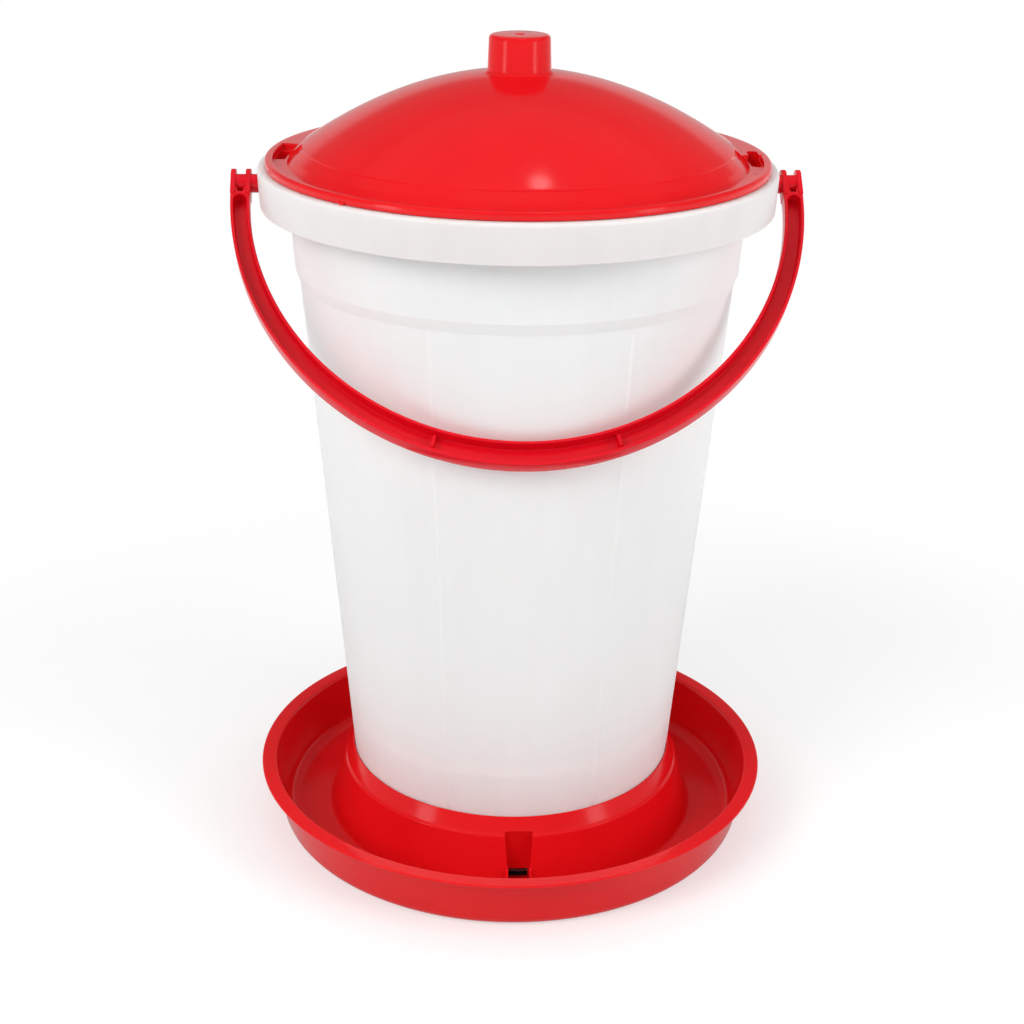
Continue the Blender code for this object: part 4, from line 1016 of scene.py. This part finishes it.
# %% Heads of the bail
def cheek(x0, x1):
    half = HEAD_THICKNESS / 2
    outline = [(-half, -HEAD_REACH), (half, -HEAD_REACH)]
    for i in range(25):
        angle = pi * i / 24
        outline.append((half * cos(angle), CHEEK_TOP - half * (1 - sin(angle))))
    plate = loft("cheek", [[(x, y, z) for y, z in outline] for x in (x0, x1)], bail_red)
    return soften(plate, 0.0006, 3)


def head_web(side):
    inner, outer = BAIL_HALF_WIDTH + CHEEK / 2, BAIL_HALF_WIDTH + SIDE_WIDTH - CHEEK / 2
    middle, half_width = (inner + outer) / 2, (outer - inner) / 2
    outline = [(inner, -HEAD_REACH + 0.0003)]
    for i in range(13):
        share = mix(-1, 1, i / 12)
        outline.append((middle + share * half_width, WEB_TOP + 0.0012 * (1 - share ** 2)))
    outline.append((outer, -HEAD_REACH + 0.0003))
    back = HEAD_THICKNESS / 2 - 0.0003
    web = loft("web", [[(side * x, y, z) for x, z in outline] for y in (back - WEB, back)], bail_red)
    return soften(web, 0.0005, 2, 50)


def pocket_cutter(side):
    middle = BAIL_HALF_WIDTH + SIDE_WIDTH / 2
    sections = []
    for y in (-HEAD_THICKNESS, HEAD_THICKNESS / 2 - WEB - 0.0008):
        narrow = 1 if y < 0 else 0.8
        top, bottom = BAR_TOP_Z + 0.0005, POCKET_BOTTOM_Z
        plan = [(-0.0031 * narrow, top), (-0.0017 * narrow, bottom), (0.0017 * narrow, bottom)]
        plan += [(0.0031 * narrow, top)]
        sections.append([(side * (middle + x), y, z) for x, z in plan])
    return loft("pocket cutter", sections)


soften(bail, 0.0005, 2, 50)
for side in (-1, 1):
    inner, outer = BAIL_HALF_WIDTH, BAIL_HALF_WIDTH + SIDE_WIDTH
    boolean(bail, cheek(side * (inner - 0.0002), side * (inner + CHEEK)), "UNION")
    boolean(bail, cheek(side * (outer - CHEEK), side * (outer + 0.0002)), "UNION")
    boolean(bail, head_web(side), "UNION")
    pin = rod("pin", PIN_RADIUS, side * PIN_TIP, side * (outer - CHEEK / 2), 0)
    boolean(bail, soften(pin, 0.0004), "UNION")
    boolean(bail, pocket_cutter(side), "DIFFERENCE")
hang = Matrix.Translation((0, 0, PIVOT_HEIGHT)) @ Matrix.Rotation(-resting_tilt(), 4, "X")
bail.data.transform(hang)
bail.data.shade_smooth()
bail.data.set_sharp_from_angle(angle=radians(40))
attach(bail, "handle")
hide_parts("handle")
print("bail done:", len(bail.data.polygons), "faces, tilt", round(resting_tilt(), 4))

# %% [markdown]
# ## Floor and background
# The product stands on a plain white floor that runs into a white background. The floor keeps the
# drinker's shadow, so it is a diffuse surface that also glows a little for the camera: where no
# shadow falls, both add up to white. Further out the glow takes over altogether, so that no
# horizon shows. Diffuse light and reflections see only about a third of the near glow, or the red
# walls would turn pink. A glossy surface also mirrors the room. Low down the room is bright, above
# that it is dark, and a soft box fills the ceiling: its edge draws the faint arch on the dome.

# %% Floor and world
FLOOR_SIZE = 12.0
FLOOR_COLOUR = (0.545, 0.550, 0.550)
FLOOR_GLOW = 0.49
MIRRORED_GLOW = 0.35
UNSEEN_GLOW = 0.35
FLOOR_LIGHT = 0.85
MIRRORED_SKY = 0.55
SKY_LIGHT = 0.47
BACKDROP_TOP = (0.27, 0.33)
CEILING = 0.20
SOFT_BOX_EDGE = (0.68, 0.72)
SOFT_BOX = 0.32


def ray_kind(tree, name):
    return Value(tree, tree.nodes.new("ShaderNodeLightPath").outputs[name])


def seen_by_eye(tree):
    """1 for rays that show the background itself: from the camera, reflected or transmitted."""
    every = ray_kind(tree, "Is Camera Ray") + ray_kind(tree, "Is Glossy Ray")
    every = every + ray_kind(tree, "Is Transmission Ray")
    return every.math("MINIMUM", every, 1)


def white_floor():
    material = bpy.data.materials.new("white floor")
    material.use_nodes = True
    tree = material.node_tree
    tree.nodes.clear()
    eye = seen_by_eye(tree)
    place = Value(tree, tree.nodes.new("ShaderNodeTexCoord").outputs["Object"])
    distance = place.node("ShaderNodeVectorMath", {"operation": "LENGTH"}, output="Value", _0=place)
    matte = place.node("ShaderNodeBsdfDiffuse", Color=FLOOR_COLOUR)
    mirrored = ray_kind(tree, "Is Glossy Ray")
    seen = eye * (1 - UNSEEN_GLOW) + UNSEEN_GLOW - mirrored * (1 - MIRRORED_GLOW)
    glow = place.node("ShaderNodeEmission", Strength=seen * FLOOR_GLOW)
    near = place.node("ShaderNodeAddShader", _0=matte, _1=glow)
    far = place.node("ShaderNodeEmission", Strength=eye * (1 - FLOOR_LIGHT) + FLOOR_LIGHT)
    both = place.node("ShaderNodeMixShader", _0=distance.ramp(0.36, 0.68), _1=near, _2=far)
    output = tree.nodes.new("ShaderNodeOutputMaterial")
    tree.links.new(both.socket, output.inputs["Surface"])
    return material


floor_mesh = bpy.data.meshes.new("floor")
half = FLOOR_SIZE / 2
floor_mesh.from_pydata([(-half, -half, 0), (half, -half, 0), (half, half, 0), (-half, half, 0)], [],
                       [(0, 1, 2, 3)])
floor_mesh.materials.append(white_floor())
floor = bpy.data.objects.new("floor", floor_mesh)
floor.location.z = -0.0002
bpy.context.scene.collection.objects.link(floor)

world = bpy.data.worlds.new("white studio")
bpy.context.scene.world = world
world.use_nodes = True
sky = world.node_tree.nodes["Background"]
sky.inputs["Color"].default_value = (1, 1, 1, 1)
room = Value(world.node_tree, world.node_tree.nodes.new("ShaderNodeTexCoord").outputs["Generated"])
height = room.node("ShaderNodeSeparateXYZ", output="Z", Vector=room)
mirrored = ray_kind(world.node_tree, "Is Glossy Ray")
ceiling = height.ramp(*BACKDROP_TOP) * (CEILING - MIRRORED_SKY) + MIRRORED_SKY
ceiling = ceiling + height.ramp(*SOFT_BOX_EDGE) * (SOFT_BOX - CEILING)
eye = seen_by_eye(world.node_tree)
feed(world.node_tree, sky.inputs["Strength"],
     eye * (1 - SKY_LIGHT) + SKY_LIGHT - mirrored * (1 - ceiling))
print("floor and world made")

# %% [markdown]
# ## Light
# Large soft lamps stand round the drinker: a key light from the upper left, a weaker one from the
# right and one overhead. They light without being mirrored. Two upright boxes about 60 degrees to
# either side of the camera draw the two soft lines on the knob, and a small lamp high above draws
# the hot spot on the dome. The powers are set so that a colour renders about as it is written.

# %% Lamps
def lamp(name, place, target, size, watts, mirrored=True):
    """A rectangular lamp that faces its target. Not mirrored, it lights but draws no reflection."""
    light = bpy.data.lights.new(name, "AREA")
    light.shape = "RECTANGLE"
    light.size, light.size_y = size
    light.energy = watts
    obj = bpy.data.objects.new(name, light)
    bpy.context.scene.collection.objects.link(obj)
    obj.location = place
    direction = Vector(target) - Vector(place)
    obj.rotation_euler = direction.to_track_quat("-Z", "Y").to_euler()
    obj.visible_glossy = mirrored
    return obj


MIDDLE = (0, 0, 0.28)
lamp("key light", (-1.35, -1.30, 1.55), MIDDLE, (1.0, 1.0), 20.0, mirrored=False)
lamp("fill light", (1.60, -0.95, 1.10), MIDDLE, (0.9, 1.2), 13.0, mirrored=False)
lamp("top light", (0.0, -0.2, 2.30), MIDDLE, (1.2, 1.2), 8.0, mirrored=False)
lamp("hot spot", (0.18, 0.24, 2.23), MIDDLE, (0.11, 0.11), 0.40)
lamp("left box", (-1.45, -0.89, 0.55), MIDDLE, (0.34, 0.9), 2.6)
lamp("right box", (1.38, -0.99, 0.55), MIDDLE, (0.34, 0.9), 2.2)
bpy.context.scene.view_settings.view_transform = "Standard"
print("lamps set")
